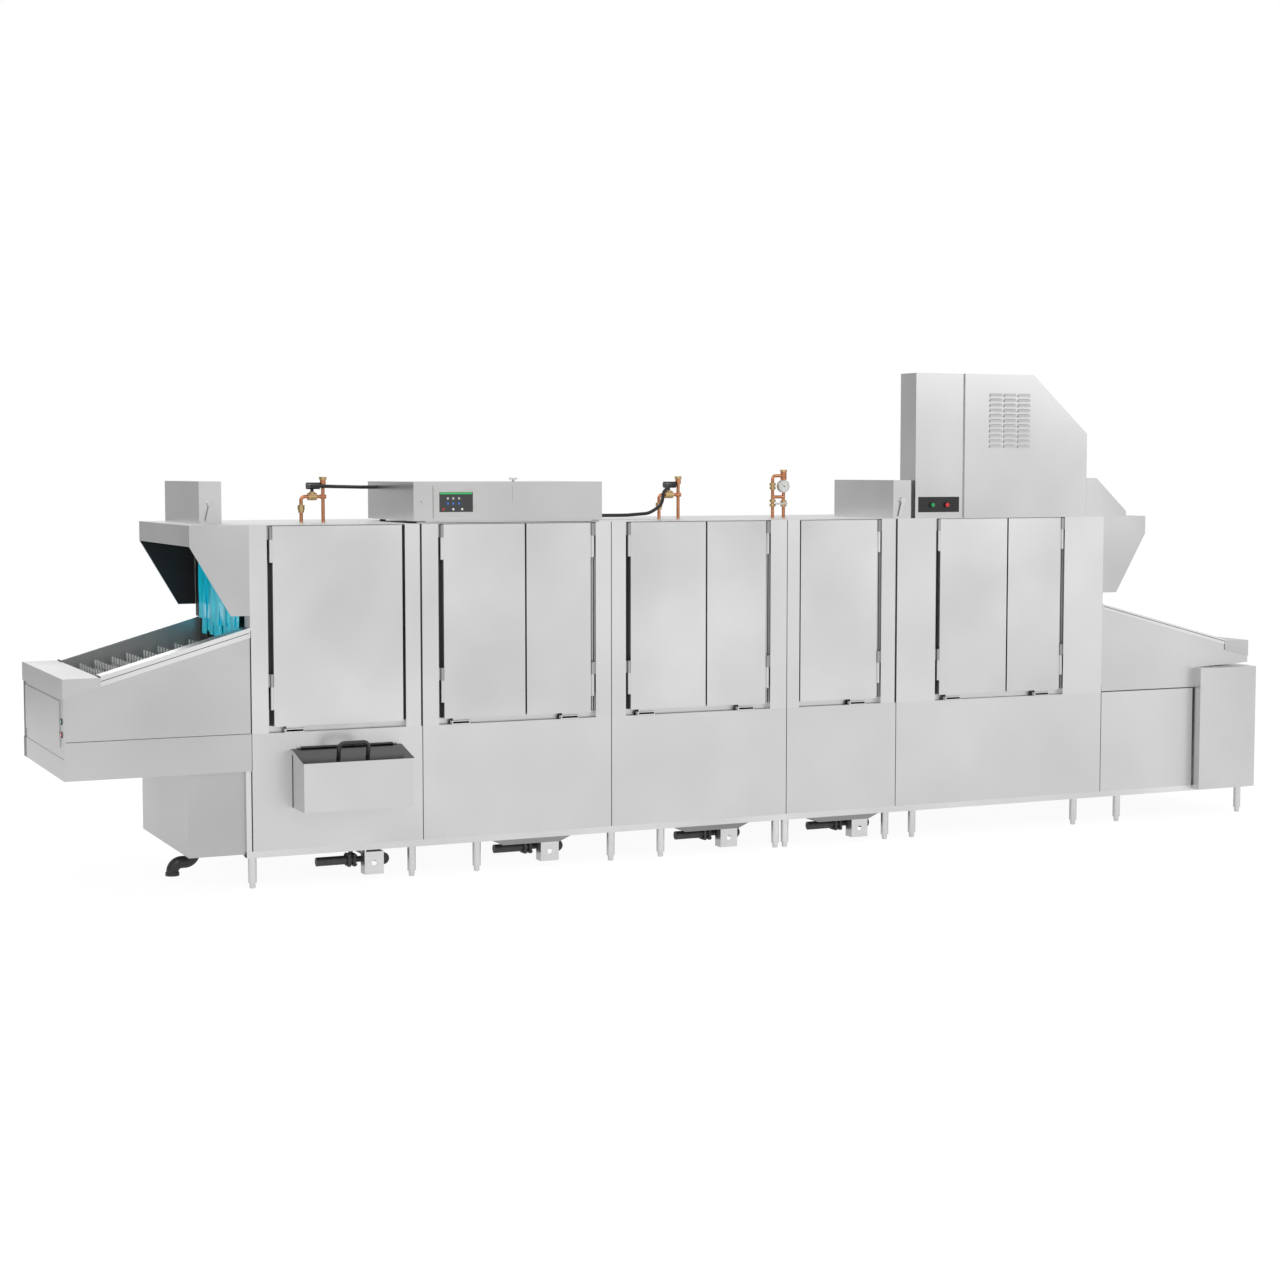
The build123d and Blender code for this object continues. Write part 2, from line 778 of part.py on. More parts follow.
nodes["tail_sprockets"] = [sprocket(tail_x, y, tail_height, sprocket_tip, shaft_radius) for y in sprocket_depths]
nodes["drive_sprockets"] = [sprocket(drive_x, y, drive_height, sprocket_tip, shaft_radius) for y in sprocket_depths]
driven_tip = sprocket_radius - drive_chain_half_height - tooth_gap
nodes["drive_sprockets"].append(sprocket(drive_x, drive_chain_depth, drive_height, driven_tip, shaft_radius))

# ---------------------------------------------------------------- load section
load_start = machine_start + access_panel_thickness


def load_top(x, drop=0):
    return load_rail_top + load_rail_slope * x - drop


cap_start = machine_start
cap_end = machine_start + load_cap_length
load_cap_under = load_cap_top - sheet


def above_cap(x0, x1, y0, y1, under):
    """The space over an end cap's underside, which the plates beneath it stay out of."""
    return slab(x0, x1, y0 - sheet, y1 + sheet, under, under + load_rail_height)


def load_side(y0, y1):
    plate = prism_along_y([(load_start, load_floor), (0, load_floor), (0, load_top(0, sheet)),
                           (load_start, load_top(load_start, sheet))], y0, y1)
    return plate - above_cap(cap_start, cap_end, y0, y1, load_cap_under)


def load_inner_wall(y0, y1):
    start = load_start + sheet
    plate = prism_along_y([(start, trough_floor), (0, trough_floor), (0, load_top(0, sheet)),
                           (start, load_top(start, sheet))], y0, y1)
    return plate - above_cap(cap_start, cap_end, y0, y1, load_cap_under)


cap_floor = load_top(cap_end, load_rail_height)
outer_side = front_and_back(0, sheet, load_side)
inner_side = front_and_back(tunnel_side - sheet, tunnel_side, load_inner_wall)
trough_low = trough_floor - sheet
end_wall_top = load_top(load_start, sheet)
nodes["load_side_panels"] = outer_side
nodes["load_trough"] = inner_side + [
    slab(load_start + sheet, 0, sheet, back_face, trough_low, trough_floor),
]
nodes["load_underside"] = [
    slab(load_start + sheet, 0, sheet, back_face, load_floor, load_floor + sheet),
    slab(load_start, load_start + sheet, sheet, back_face, load_floor, end_wall_top),
]
nodes["load_skirt"] = [
    slab(load_start, 0, -skirt_thickness, 0, load_floor, load_ledge),
    slab(machine_start + sheet, load_start, -skirt_thickness, body_depth, load_floor, end_skirt_top),
]
panel_front = load_button_depth + 3 * button_radius
nodes["end_access_panel"] = [
    slab(machine_start, load_start, panel_front, body_depth - 60, access_panel_bottom, access_panel_top),
]
latch_y = body_depth - 50
nodes["access_latches"] = [
    slab(machine_start, load_start, latch_y - 10, latch_y + 14, z, z + 24) for z in (772, 830)
]


def rail_pieces(x0, x1, top, y_edge, side, height):
    """A folded rail: a sloped flat on top and a lip that hangs outside the side panel."""
    flat = prism_along_y([(x0, top(x0) - sheet), (x1, top(x1) - sheet), (x1, top(x1)), (x0, top(x0))],
                         *sorted([y_edge - side * sheet, y_edge + side * tunnel_side]))
    lip = prism_along_y([(x0, top(x0) - height), (x1, top(x1) - height), (x1, top(x1) - sheet), (x0, top(x0) - sheet)],
                        *sorted([y_edge - side * sheet, y_edge]))
    return [flat, lip]


nodes["load_rails"] = rail_pieces(cap_end, 0, load_top, 0, 1, load_rail_height)
nodes["load_rails"] += rail_pieces(cap_end, 0, load_top, body_depth, -1, load_rail_height)
cap_front = -cap_overhang
cap_bottom_start = load_top(cap_start, load_rail_height)
cap_side = [(cap_start, cap_bottom_start), (cap_end, cap_floor), (cap_end, load_cap_under),
            (cap_start, load_cap_under)]
nodes["load_end_cap"] = [
    slab(cap_start, cap_end, cap_front, back_reach, load_cap_under, load_cap_top),
    slab(cap_start, cap_start + sheet, cap_front + sheet, back_reach - sheet, cap_bottom_start, load_cap_under),
]
nodes["load_cap_sides"] = [
    prism_along_y(cap_side, cap_front, cap_front + sheet),
    prism_along_y(cap_side, back_reach - sheet, back_reach),
]
load_button_bodies = {"load_start_button": load_button_high, "load_stop_button": load_button_low}
nodes["load_button_rings"] = []
ring_radius = button_radius + button_ring_width
ring_bore = button_radius + running_clearance
for name, z in load_button_bodies.items():
    nodes["load_button_rings"].append(
        tube((load_start, load_button_depth, z), (-1, 0, 0), button_travel + 1, ring_radius, ring_bore))
    nodes[name] = [rod((machine_start, load_button_depth, z), (1, 0, 0), button_cap_depth, button_radius)]

# ---------------------------------------------------------------- hoods and curtains


def hood(x_wall, side):
    """A scoop over the tunnel mouth; side is -1 at the load end and 1 at the unload end."""
    tip = x_wall + side * hood_reach
    low = x_wall + side * hood_low_reach
    lip_bottom = body_top - hood_lip_height
    outline = [(x_wall, hood_low_height), (x_wall, roof_underside), (tip, roof_underside), (tip, lip_bottom),
               (low, hood_low_height)]
    plates = [prism_along_y(outline, 0, sheet), prism_along_y(outline, back_face, body_depth)]
    plates.append(slab(*sorted([x_wall, tip]), 0, body_depth, roof_underside, body_top))
    plates.append(slab(*sorted([tip, tip - side * sheet]), sheet, back_face, lip_bottom, roof_underside))
    return plates


nodes["load_hood"] = hood(0, -1)
nodes["unload_hood"] = hood(body_length, 1)
nodes["strip_curtains"] = []
nodes["curtain_rods"] = []
strip_pitch = curtain_strip_width + curtain_strip_gap
strip_count = int((tunnel_back - tunnel_side - 2 * curtain_strip_gap) / strip_pitch)
strip_start = body_depth / 2 - strip_count * strip_pitch / 2 + curtain_strip_gap / 2
for x in (-curtain_set_off, body_length + curtain_set_off):
    rod_z = tunnel_top + curtain_rod_radius
    nodes["curtain_rods"].append(rod((x, sheet, rod_z), (0, 1, 0), back_face - sheet, curtain_rod_radius))
    for count in range(strip_count):
        y = strip_start + count * strip_pitch
        nodes["strip_curtains"].append(
            slab(x - curtain_thickness / 2, x + curtain_thickness / 2, y, y + curtain_strip_width,
                 curtain_bottom, tunnel_top - 0.3))

# ---------------------------------------------------------------- unload section
unload_end = body_length + unload_side_length
unload_end_floor = unload_step_floor + unload_end_rise
step_x = cabinet_x
unload_cap_start = unload_end - unload_cap_length
unload_cap_end = unload_end + 2 * sheet
unload_cap_under = unload_cap_top - sheet


def unload_top(x, drop=0):
    return unload_rail_top - unload_rail_slope * (x - body_length) - drop


def unload_side(y0, y1):
    plate = prism_along_y([(body_length, unload_floor), (step_x, unload_floor), (step_x, unload_step_floor),
                           (unload_end, unload_end_floor), (unload_end, unload_top(unload_end, sheet)),
                           (body_length, unload_top(body_length, sheet))], y0, y1)
    return plate - above_cap(unload_cap_start, unload_cap_end, y0, y1, unload_cap_under)


chain_slot = slab(drive_x - 2 * sprocket_radius, drive_x + 2 * sprocket_radius, drive_chain_depth - drive_chain_width,
                  drive_shaft_end + drive_chain_width, cabinet_top - 2 * sheet, unload_end_floor + 2 * sheet)
step_floor = prism_along_y([(step_x, unload_step_floor - sheet / 2), (unload_end, unload_end_floor - sheet / 2),
                            (unload_end, unload_end_floor), (step_x, unload_step_floor)], sheet, back_face)
shaft_hole = rod((drive_x, tunnel_back - 2 * sheet, drive_height), (0, 1, 0), 6 * sheet, shaft_radius + sheet)
outer_side = front_and_back(0, sheet, unload_side)
inner_front, inner_back = front_and_back(tunnel_side - sheet, tunnel_side, unload_side)
nodes["unload_side_panels"] = outer_side
nodes["unload_trough"] = [inner_front, inner_back - shaft_hole]
nodes["unload_underside"] = [
    slab(body_length, step_x, sheet, back_face, unload_floor - sheet, unload_floor),
    slab(step_x - sheet, step_x, sheet, tunnel_side - sheet, unload_floor, unload_step_floor),
    slab(step_x - sheet, step_x, tunnel_side, tunnel_back, unload_floor, unload_step_floor),
    slab(step_x - sheet, step_x, tunnel_back + sheet, back_face, unload_floor, unload_step_floor),
    step_floor - chain_slot,
    slab(unload_end, unload_end + sheet, 0, body_depth, unload_end_floor - sheet / 2, unload_top(unload_end, sheet)),
]
nodes["unload_rails"] = rail_pieces(body_length, unload_cap_start, unload_top, 0, 1, unload_rail_height)
nodes["unload_rails"] += rail_pieces(body_length, unload_cap_start, unload_top, body_depth, -1, unload_rail_height)
unload_cap_bottom = unload_cap_top - unload_cap_end_height
unload_cap_side = [(unload_cap_start, unload_cap_top - unload_cap_start_height), (unload_cap_end, unload_cap_bottom),
                   (unload_cap_end, unload_cap_under), (unload_cap_start, unload_cap_under)]
nodes["unload_end_cap"] = [
    slab(unload_cap_start, unload_cap_end, cap_front, back_reach, unload_cap_under, unload_cap_top),
    slab(unload_cap_end - sheet, unload_cap_end, cap_front + sheet, back_reach - sheet, unload_cap_bottom,
         unload_cap_under),
    prism_along_y(unload_cap_side, cap_front, cap_front + sheet),
    prism_along_y(unload_cap_side, back_reach - sheet, back_reach),
]

# ---------------------------------------------------------------- drive cabinet and gearmotor
cabinet_back = back_face
nodes["drive_cabinet"] = [
    slab(cabinet_x, cabinet_x + sheet, sheet, cabinet_back, frame_top, cabinet_top - sheet),
    slab(cabinet_end - sheet, cabinet_end, sheet, cabinet_back, frame_top, cabinet_top - sheet),
    slab(cabinet_x, cabinet_end, sheet, cabinet_back, cabinet_top - sheet, cabinet_top) - chain_slot,
    slab(cabinet_x, cabinet_end, cabinet_back, body_depth, frame_bottom, cabinet_top),
]
hinge_x = cabinet_end + cabinet_knuckle_radius
cabinet_door_top = cabinet_top - sheet
cabinet_pan_end = cabinet_end - sheet
cabinet_door = slab(cabinet_x, cabinet_pan_end, -cabinet_door_depth, 0, cabinet_door_bottom, cabinet_door_top)
cabinet_door -= slab(cabinet_x + sheet, cabinet_pan_end - sheet, sheet - cabinet_door_depth, 0,
                     cabinet_door_bottom + sheet, cabinet_door_top - sheet)
nodes["cabinet_door"] = [cabinet_door]
nodes["cabinet_hinge_pins"] = []
for low in (cabinet_door_bottom + cabinet_hinge_length / 2, cabinet_door_top - 1.5 * cabinet_hinge_length):
    half = cabinet_hinge_length / 2
    pin = rod((hinge_x, 0, low), (0, 0, 1), cabinet_hinge_length, cabinet_knuckle_radius / 2)
    barrel = rod((hinge_x, 0, low + half), (0, 0, 1), half, cabinet_knuckle_radius)
    strap = slab(cabinet_end, hinge_x, sheet, cabinet_knuckle_radius, low + half, low + 2 * half)
    nodes["cabinet_hinge_pins"].append(pin + barrel + strap)
    top = low + half - running_clearance * 10
    knuckle = rod((hinge_x, 0, low), (0, 0, 1), top - low, cabinet_knuckle_radius)
    strap = slab(cabinet_pan_end, hinge_x, -cabinet_knuckle_radius, -cabinet_knuckle_radius + sheet, low, top)
    bore = rod((hinge_x, 0, low), (0, 0, 1), top - low, cabinet_knuckle_radius / 2 + running_clearance)
    nodes["cabinet_door"].append(knuckle + strap - bore)

motor_height = drive_height - motor_drop
gearbox_back = drive_chain_depth - 2 * drive_chain_width
gearbox_front = gearbox_back - gearbox_length
half = gearbox_size / 2
output_bore = rod((drive_x, gearbox_back - gearbox_length / 2, motor_height), (0, 1, 0), gearbox_length / 2,
                  output_shaft_radius + running_clearance)
nodes["gearmotor"] = [
    slab(drive_x - half, drive_x + half, gearbox_front, gearbox_back, motor_height - half, motor_height + half)
    - output_bore,
    rod((drive_x, gearbox_front, motor_height), (0, -1, 0), motor_length, motor_radius),
]
nodes["motor_shelf"] = [
    slab(cabinet_x + sheet, cabinet_end - sheet, gearbox_front - motor_length, gearbox_back,
         motor_height - motor_radius - shelf_thickness, motor_height - motor_radius),
    slab(drive_x - half, drive_x + half, gearbox_front, gearbox_back, motor_height - motor_radius, motor_height - half),
]
output_start = gearbox_back - gearbox_length / 2 + sheet
nodes["motor_sprocket"] = [
    sprocket(drive_x, drive_chain_depth, motor_height, driven_tip, output_shaft_radius),
    rod((drive_x, output_start, motor_height), (0, 1, 0), drive_shaft_end - output_start, output_shaft_radius),
]
drive_chain_back = drive_chain_depth + drive_chain_width
nodes["drive_chain"] = [
    slab(x - drive_chain_half_height, x + drive_chain_half_height, drive_chain_depth, drive_chain_back,
         motor_height, drive_height)
    for x in (drive_x - sprocket_radius, drive_x + sprocket_radius)
]
nodes["drive_chain"].append(
    half_ring(drive_x, drive_height, 1, sprocket_radius, drive_chain_half_height, drive_chain_depth, drive_chain_back,
              along_x=False))
nodes["drive_chain"].append(
    half_ring(drive_x, motor_height, -1, sprocket_radius, drive_chain_half_height, drive_chain_depth, drive_chain_back,
              along_x=False))

# ---------------------------------------------------------------- preflush tank and drains
preflush_end = preflush_start + preflush_width
preflush_back = preflush_front + preflush_depth
preflush = slab(preflush_start, preflush_end, preflush_front, preflush_back, preflush_bottom, load_floor)
preflush -= slab(preflush_start + sheet, preflush_end - sheet, preflush_front + sheet, preflush_back - sheet,
                 preflush_bottom + sheet, load_floor)
nodes["preflush_tank"] = [preflush]
elbow_start = preflush_start + elbow_inset
elbow_end = elbow_start - elbow_reach
elbow_level = preflush_bottom - elbow_drop
elbow_low = elbow_level - elbow_drop
elbow_route = [(elbow_start, elbow_depth, preflush_bottom), (elbow_start, elbow_depth, elbow_level),
               (elbow_end, elbow_depth, elbow_level), (elbow_end, elbow_depth, elbow_low)]
elbow = bent_rod(elbow_route, elbow_radius, drain_pipe_radius)
elbow -= bent_rod(elbow_route, elbow_radius, drain_pipe_radius - drain_pipe_wall)
hub = tube((elbow_end, elbow_depth, elbow_low), (0, 0, 1), elbow_hub, drain_pipe_radius + drain_pipe_wall,
           drain_pipe_radius)
nodes["drain_elbow"] = [elbow, hub]

valve_units = [(0, 560), (1, 629), (2, 629), (3, 404)]
nodes["sump_pans"] = []
nodes["drain_valves"] = []
nodes["valve_actuators"] = []
nodes["valve_covers"] = []
nodes["rear_drain_pipes"] = []
for section, offset in valve_units:
    x0 = seams[section] + offset
    x1 = x0 + valve_cover_size
    ceiling = frame_bottom
    if section > 0:
        pan_x0 = x0 - sump_lead
        pan_low = pan_x0 + sump_slope_length
        pan_high = pan_low + sump_bottom_length
        pan_x1 = pan_high + sump_slope_length
        pan_bottom = frame_bottom - sump_drop
        outline = [(pan_x0, frame_bottom), (pan_low, pan_bottom), (pan_high, pan_bottom), (pan_x1, frame_bottom)]
        inner = [(pan_x0 + sheet, frame_bottom), (pan_low + sheet, pan_bottom + sheet),
                 (pan_high - sheet, pan_bottom + sheet), (pan_x1 - sheet, frame_bottom)]
        pan = prism_along_y(outline, rail_front, rail_front + sump_depth)
        pan -= prism_along_y(inner, rail_front + sheet, rail_front + sump_depth - sheet)
        nodes["sump_pans"].append(pan)
        ceiling = pan_bottom
    axis_z = valve_axis_height
    axis_y = valve_axis_depth
    half = flange_size / 2
    flange_x0 = x0 - 20 - 3 * flange_thickness
    flange_x1 = flange_x0 + 2 * flange_thickness
    body = slab(flange_x0, flange_x0 + flange_thickness, axis_y - half, axis_y + half, axis_z - half, axis_z + half)
    body += slab(flange_x1, flange_x1 + flange_thickness, axis_y - half, axis_y + half, axis_z - half, axis_z + half)
    body += rod((flange_x0, axis_y, axis_z), (1, 0, 0), 3 * flange_thickness, half - 10)
    neck_top = ceiling if section > 0 else tank_floor - sheet
    neck_x = flange_x0 + 1.5 * flange_thickness
    body += rod((neck_x, axis_y, axis_z), (0, 0, 1), neck_top - axis_z, half - 20)
    for bolt_y in (axis_y - half + 9, axis_y + half - 9):
        for bolt_z in (axis_z - half + 9, axis_z + half - 9):
            body += rod((flange_x0 - 6, bolt_y, bolt_z), (1, 0, 0), 3 * flange_thickness + 12, flange_bolt_radius)
    nodes["drain_valves"].append(body)
    nodes["valve_actuators"].append(
        rod((flange_x0 - actuator_length, axis_y, axis_z), (1, 0, 0), actuator_length, actuator_radius)
        - sum([rod((flange_x0 - 7, y, z), (1, 0, 0), 7, flange_bolt_radius + 1)
               for y in (axis_y - half + 9, axis_y + half - 9) for z in (axis_z - half + 9, axis_z + half - 9)],
              start=Part()))
    cover_top = min(ceiling, valve_cover_bottom + valve_cover_height)
    cover_back = rail_front + valve_cover_depth
    cover = slab(x0, x1, rail_front, rail_front + sheet, valve_cover_bottom, cover_top)
    cover -= rod((x0 + valve_cover_size / 2, 0, (valve_cover_bottom + cover_top) / 2), (0, 1, 0), 3 * sheet, 13)
    cover += slab(x0, x0 + sheet, rail_front, cover_back, valve_cover_bottom, cover_top)
    cover += slab(x0, x1, rail_front, cover_back, cover_top - sheet, cover_top)
    if cover_top < ceiling:
        cover += slab(x0, x0 + 4 * sheet, rail_front, rail_front + sheet, cover_top, ceiling)
    nodes["valve_covers"].append(cover)
    pipe_x = x1 + 20
    stub_x = flange_x1 + flange_thickness
    drain = rod((pipe_x, cover_back + sheet, axis_z), (0, 1, 0), rear_drain_length, drain_pipe_radius)
    drain += rod((stub_x, axis_y, axis_z), (1, 0, 0), pipe_x - stub_x, drain_pipe_radius / 2)
    nodes["rear_drain_pipes"].append(drain)

# ---------------------------------------------------------------- outside scrap box
box_end = scrap_box_start + scrap_box_length
side_outline = [(-scrap_box_reach, scrap_box_bottom), (0, scrap_box_bottom), (0, scrap_box_back_height),
                (-scrap_box_reach, scrap_box_front_height)]
nodes["scrap_box"] = [
    prism_along_x(side_outline, scrap_box_start, scrap_box_start + sheet),
    prism_along_x(side_outline, box_end - sheet, box_end),
    slab(scrap_box_start + sheet, box_end - sheet, -scrap_box_reach, sheet - scrap_box_reach, scrap_box_bottom,
         scrap_box_front_height),
    slab(scrap_box_start + sheet, box_end - sheet, -sheet, 0, scrap_box_bottom, scrap_box_back_height),
    slab(scrap_box_start + sheet, box_end - sheet, sheet - scrap_box_reach, -sheet, scrap_box_bottom,
         scrap_box_bottom + sheet),
]
basket_x0 = scrap_box_start + sheet + basket_gap
basket_x1 = box_end - sheet - basket_gap
basket_y0 = sheet + basket_gap - scrap_box_reach
basket_y1 = -sheet - basket_gap
basket_z0 = scrap_box_bottom + sheet
basket_z1 = scrap_box_front_height - 4 * basket_gap
basket_walls = [
    slab(basket_x0, basket_x1, basket_y0, basket_y1, basket_z0, basket_z0 + sheet),
    slab(basket_x0, basket_x1, basket_y0, basket_y0 + sheet, basket_z0 + sheet, basket_z1),
    slab(basket_x0, basket_x1, basket_y1 - sheet, basket_y1, basket_z0 + sheet, basket_z1),
    slab(basket_x0, basket_x0 + sheet, basket_y0 + sheet, basket_y1 - sheet, basket_z0 + sheet, basket_z1),
    slab(basket_x1 - sheet, basket_x1, basket_y0 + sheet, basket_y1 - sheet, basket_z0 + sheet, basket_z1),
]
nodes["scrap_basket"] = basket_walls

# The lid is drawn in the plane of its slope, with its hinge line at the local origin, then put in place.
lid_slope = (scrap_box_back_height - scrap_box_front_height) / scrap_box_reach
lid_angle = atan(lid_slope)
lid_axis_y = -lid_knuckle_radius
lid_axis_z = scrap_box_back_height - lid_slope * lid_knuckle_radius + (lid_knuckle_radius + lid_gap) / cos(lid_angle)
lid_low = -lid_knuckle_radius
lid_far = -(front_reach - lid_knuckle_radius + (lid_knuckle_radius - sheet) * sin(lid_angle)) / cos(lid_angle)
lid_place = Pos(0, lid_axis_y, lid_axis_z) * Rot(degrees(lid_angle), 0, 0)
lid_x0 = scrap_box_start - lid_overhang
lid_x1 = box_end + lid_overhang
lid_plate = slab(lid_x0, lid_x1, lid_far, -lid_knuckle_radius / 2, lid_low, lid_low + sheet)
pin_bore = lid_pin_radius + running_clearance
lid_barrel = rod((scrap_box_start + 40, 0, 0), (1, 0, 0), scrap_box_length - 80, lid_knuckle_radius)
lid_bore = rod((scrap_box_start + 40, 0, 0), (1, 0, 0), scrap_box_length - 80, pin_bore)
nodes["scrap_lid"] = [lid_place * (lid_plate + lid_barrel - lid_bore)]
nodes["scrap_lid_pin"] = [
    rod((scrap_box_start + 20, lid_axis_y, lid_axis_z), (1, 0, 0), scrap_box_length - 40, lid_pin_radius)
]
for x in (scrap_box_start + 20, box_end - 39):
    nodes["scrap_lid_pin"][0] += slab(x, x + 19, lid_axis_y, 0, lid_axis_z - lid_pin_radius,
                                      lid_axis_z + lid_pin_radius)
handle_x0 = scrap_box_start + (scrap_box_length - lid_handle_span) / 2 + lid_handle_offset
handle_y = -lid_handle_setback
handle_base = lid_low + sheet
handle_route = [(handle_x0, handle_y, handle_base), (handle_x0, handle_y, handle_base + lid_handle_height),
                (handle_x0 + lid_handle_span, handle_y, handle_base + lid_handle_height),
                (handle_x0 + lid_handle_span, handle_y, handle_base)]
nodes["scrap_lid_handle"] = [lid_place * bent_rod(handle_route, 26, lid_handle_radius)]

# ---------------------------------------------------------------- control box
control_end = control_start + control_length
control_inside = slab(control_start + sheet, control_end - sheet, cover_thickness, control_depth - sheet,
                      control_bottom + sheet, control_top - sheet)
nodes["control_box"] = [
    slab(control_start, control_end, cover_thickness, control_depth, control_bottom, control_top) - control_inside
]
nodes["control_feet"] = [
    rod((x, y, body_top), (0, 0, 1), control_bottom - body_top, 16)
    for x in (control_start + 60, control_end - 60) for y in (cover_thickness + 45, control_depth - 60)
]
cover_axis_y = -2 * cover_pin_radius + 1
cover_axis_z = control_bottom - cover_knuckle_radius - 1.5
cover = slab(control_start, control_end, 0, cover_thickness, control_bottom, control_top)
cover -= slab(control_start + sheet, control_end - sheet, sheet, cover_thickness, control_bottom + sheet,
              control_top - sheet)
barrel_x0 = control_start + 60
barrel_length = control_length - 120
cover_barrel = rod((barrel_x0, cover_axis_y, cover_axis_z), (1, 0, 0), barrel_length, cover_knuckle_radius)
cover_web = slab(barrel_x0, barrel_x0 + barrel_length, cover_axis_y, sheet, cover_axis_z + cover_pin_radius + 0.5,
                 control_bottom)
cover_bore = rod((barrel_x0, cover_axis_y, cover_axis_z), (1, 0, 0), barrel_length, cover_pin_radius + running_clearance)
nodes["control_cover"] = [cover, cover_barrel + cover_web - cover_bore]
hinge_bar = rod((control_start + 30, cover_axis_y, cover_axis_z), (1, 0, 0), control_length - 60, cover_pin_radius)
for x in (control_start + 20, control_end - 59.5):
    hinge_bar += slab(x, x + 39.5, cover_axis_y - cover_pin_radius, cover_thickness, body_top, control_bottom - 2)
nodes["cover_hinge"] = [hinge_bar]
bezel_x0 = control_start + bezel_start
bezel_z0 = control_bottom + bezel_bottom
screen_x0 = bezel_x0 + (bezel_width - screen_width) / 2
screen_z0 = bezel_z0 + (bezel_height - screen_height) / 2
bezel = slab(bezel_x0, bezel_x0 + bezel_width, -bezel_thickness, 0, bezel_z0, bezel_z0 + bezel_height)
bezel = fillet(bezel.edges().filter_by(Axis.Y), 8)
recess = slab(screen_x0, screen_x0 + screen_width, -bezel_thickness, screen_thickness - bezel_thickness, screen_z0,
              screen_z0 + screen_height)
nodes["screen_bezel"] = [bezel - recess]
nodes["touch_screen"] = [recess]
nodes["pilot_light"] = [
    rod((control_start + pilot_x, 0, (control_bottom + control_top) / 2), (0, -1, 0), 9, pilot_radius)
]
plate_x0 = control_start + plate_start
plate_z0 = control_top - plate_height - 20
nodes["blank_name_plate"] = [slab(plate_x0, plate_x0 + plate_width, -sheet, 0, plate_z0, plate_z0 + plate_height)]
latch_x = plate_x0 + 22
latch_depth = 3 * cover_thickness
latch_pin = rod((latch_x, latch_depth, control_top), (0, 0, 1), 6, latch_radius)
latch_body = rod((latch_x, latch_depth, control_top + 6 + running_clearance), (0, 0, 1), 8, latch_radius)
latch_body += slab(latch_x - latch_wing, latch_x + latch_wing, latch_depth - 3, latch_depth + 3, control_top + 10,
                   control_top + 20)
nodes["latch_stud"] = [latch_pin]
nodes["wing_latch"] = [latch_body]

# ---------------------------------------------------------------- vent cowls and dampers
cowls = [
    ("load", -load_cowl_inset - cowl_width, load_cowl_front, cowl_depth),
    ("unload", unload_cowl_start, unload_cowl_front, unload_cowl_depth),
]
nodes["vent_cowls"] = []
damper_axes = {}
for name, x0, y0, depth in cowls:
    x1 = x0 + cowl_width
    top = body_top + cowl_height
    shell = slab(x0, x1, y0, y0 + depth, body_top, top)
    shell -= slab(x0 + sheet, x1 - sheet, y0 + sheet, y0 + depth - sheet, body_top, top - sheet)
    pivot_x = (x0 + x1) / 2
    pivot_z = body_top + damper_pivot_height
    shell -= rod((pivot_x, y0 - sheet, pivot_z), (0, 1, 0), 3 * sheet, damper_shaft_radius + running_clearance)
    shell -= rod((pivot_x, y0 + depth - 2 * sheet, pivot_z), (0, 1, 0), 3 * sheet,
                 damper_shaft_radius + running_clearance)
    nodes["vent_cowls"].append(shell)
    blade_half = damper_blade_width / 2
    damper = slab(pivot_x - 1.5, pivot_x + 1.5, y0 + 5 * sheet, y0 + depth - 5 * sheet, pivot_z - blade_half,
                  pivot_z + blade_half)
    damper += rod((pivot_x, y0 - 16, pivot_z), (0, 1, 0), depth + 16, damper_shaft_radius)
    damper += rod((pivot_x, y0 - 16, pivot_z), (0, 1, 0), 15, damper_hub_radius)
    arm = slab(pivot_x - 7, pivot_x + 7, y0 - 14, y0 - 8, pivot_z - damper_arm_length, pivot_z)
    damper += Pos(pivot_x, 0, pivot_z) * Rot(0, 14, 0) * Pos(-pivot_x, 0, -pivot_z) * arm
    nodes[name + "_damper"] = [damper]
    damper_axes[name + "_damper"] = (pivot_x, y0, pivot_z)

# ---------------------------------------------------------------- blower, switch box and duct
blower_end = blower_start + blower_length
flat_end = blower_start + blower_flat_length
outer = [(blower_start, body_top), (blower_start, blower_top), (flat_end, blower_top), (blower_end, blower_shoulder),
         (blower_end, body_top)]
inner = [(blower_start + sheet, body_top), (blower_start + sheet, blower_top - sheet), (flat_end - 1, blower_top - sheet),
         (blower_end - sheet, blower_shoulder - sheet), (blower_end - sheet, body_top)]
nodes["blower_housing"] = [
    prism_along_y(outer, 0, blower_depth) - prism_along_y(inner, sheet, blower_depth - sheet)
]
switch_box_end = switch_box_start + switch_box_width
nodes["switch_box"] = [
    slab(switch_box_start, switch_box_end, 0, switch_box_depth, body_top, blower_top)
    - slab(switch_box_start + sheet, switch_box_end - sheet, sheet, switch_box_depth - sheet, body_top,
           blower_top - sheet)
]
nodes["joint_channel"] = [
    slab(switch_box_end, blower_start, 10, switch_box_depth, body_top, blower_top - 2 * sheet)
]
nodes["louvres"] = []
for column in range(louvre_columns):
    for row in range(louvre_rows):
        x = louvre_start_x + column * louvre_pitch_x
        z = louvre_start_z + row * louvre_pitch_z
        nodes["louvres"].append(
            prism_along_x([(0, z), (0, z + louvre_height), (-louvre_depth, z + sheet), (-louvre_depth, z)],
                          x, x + louvre_width))
duct_start = blower_end + 2
duct_top = body_top + duct_height
duct_knee = body_top + duct_low_height
duct_outer = [(duct_start, body_top), (duct_start, duct_top), (duct_start + duct_flat_length, duct_top),
              (duct_start + duct_length, duct_knee), (duct_start + duct_length, body_top)]
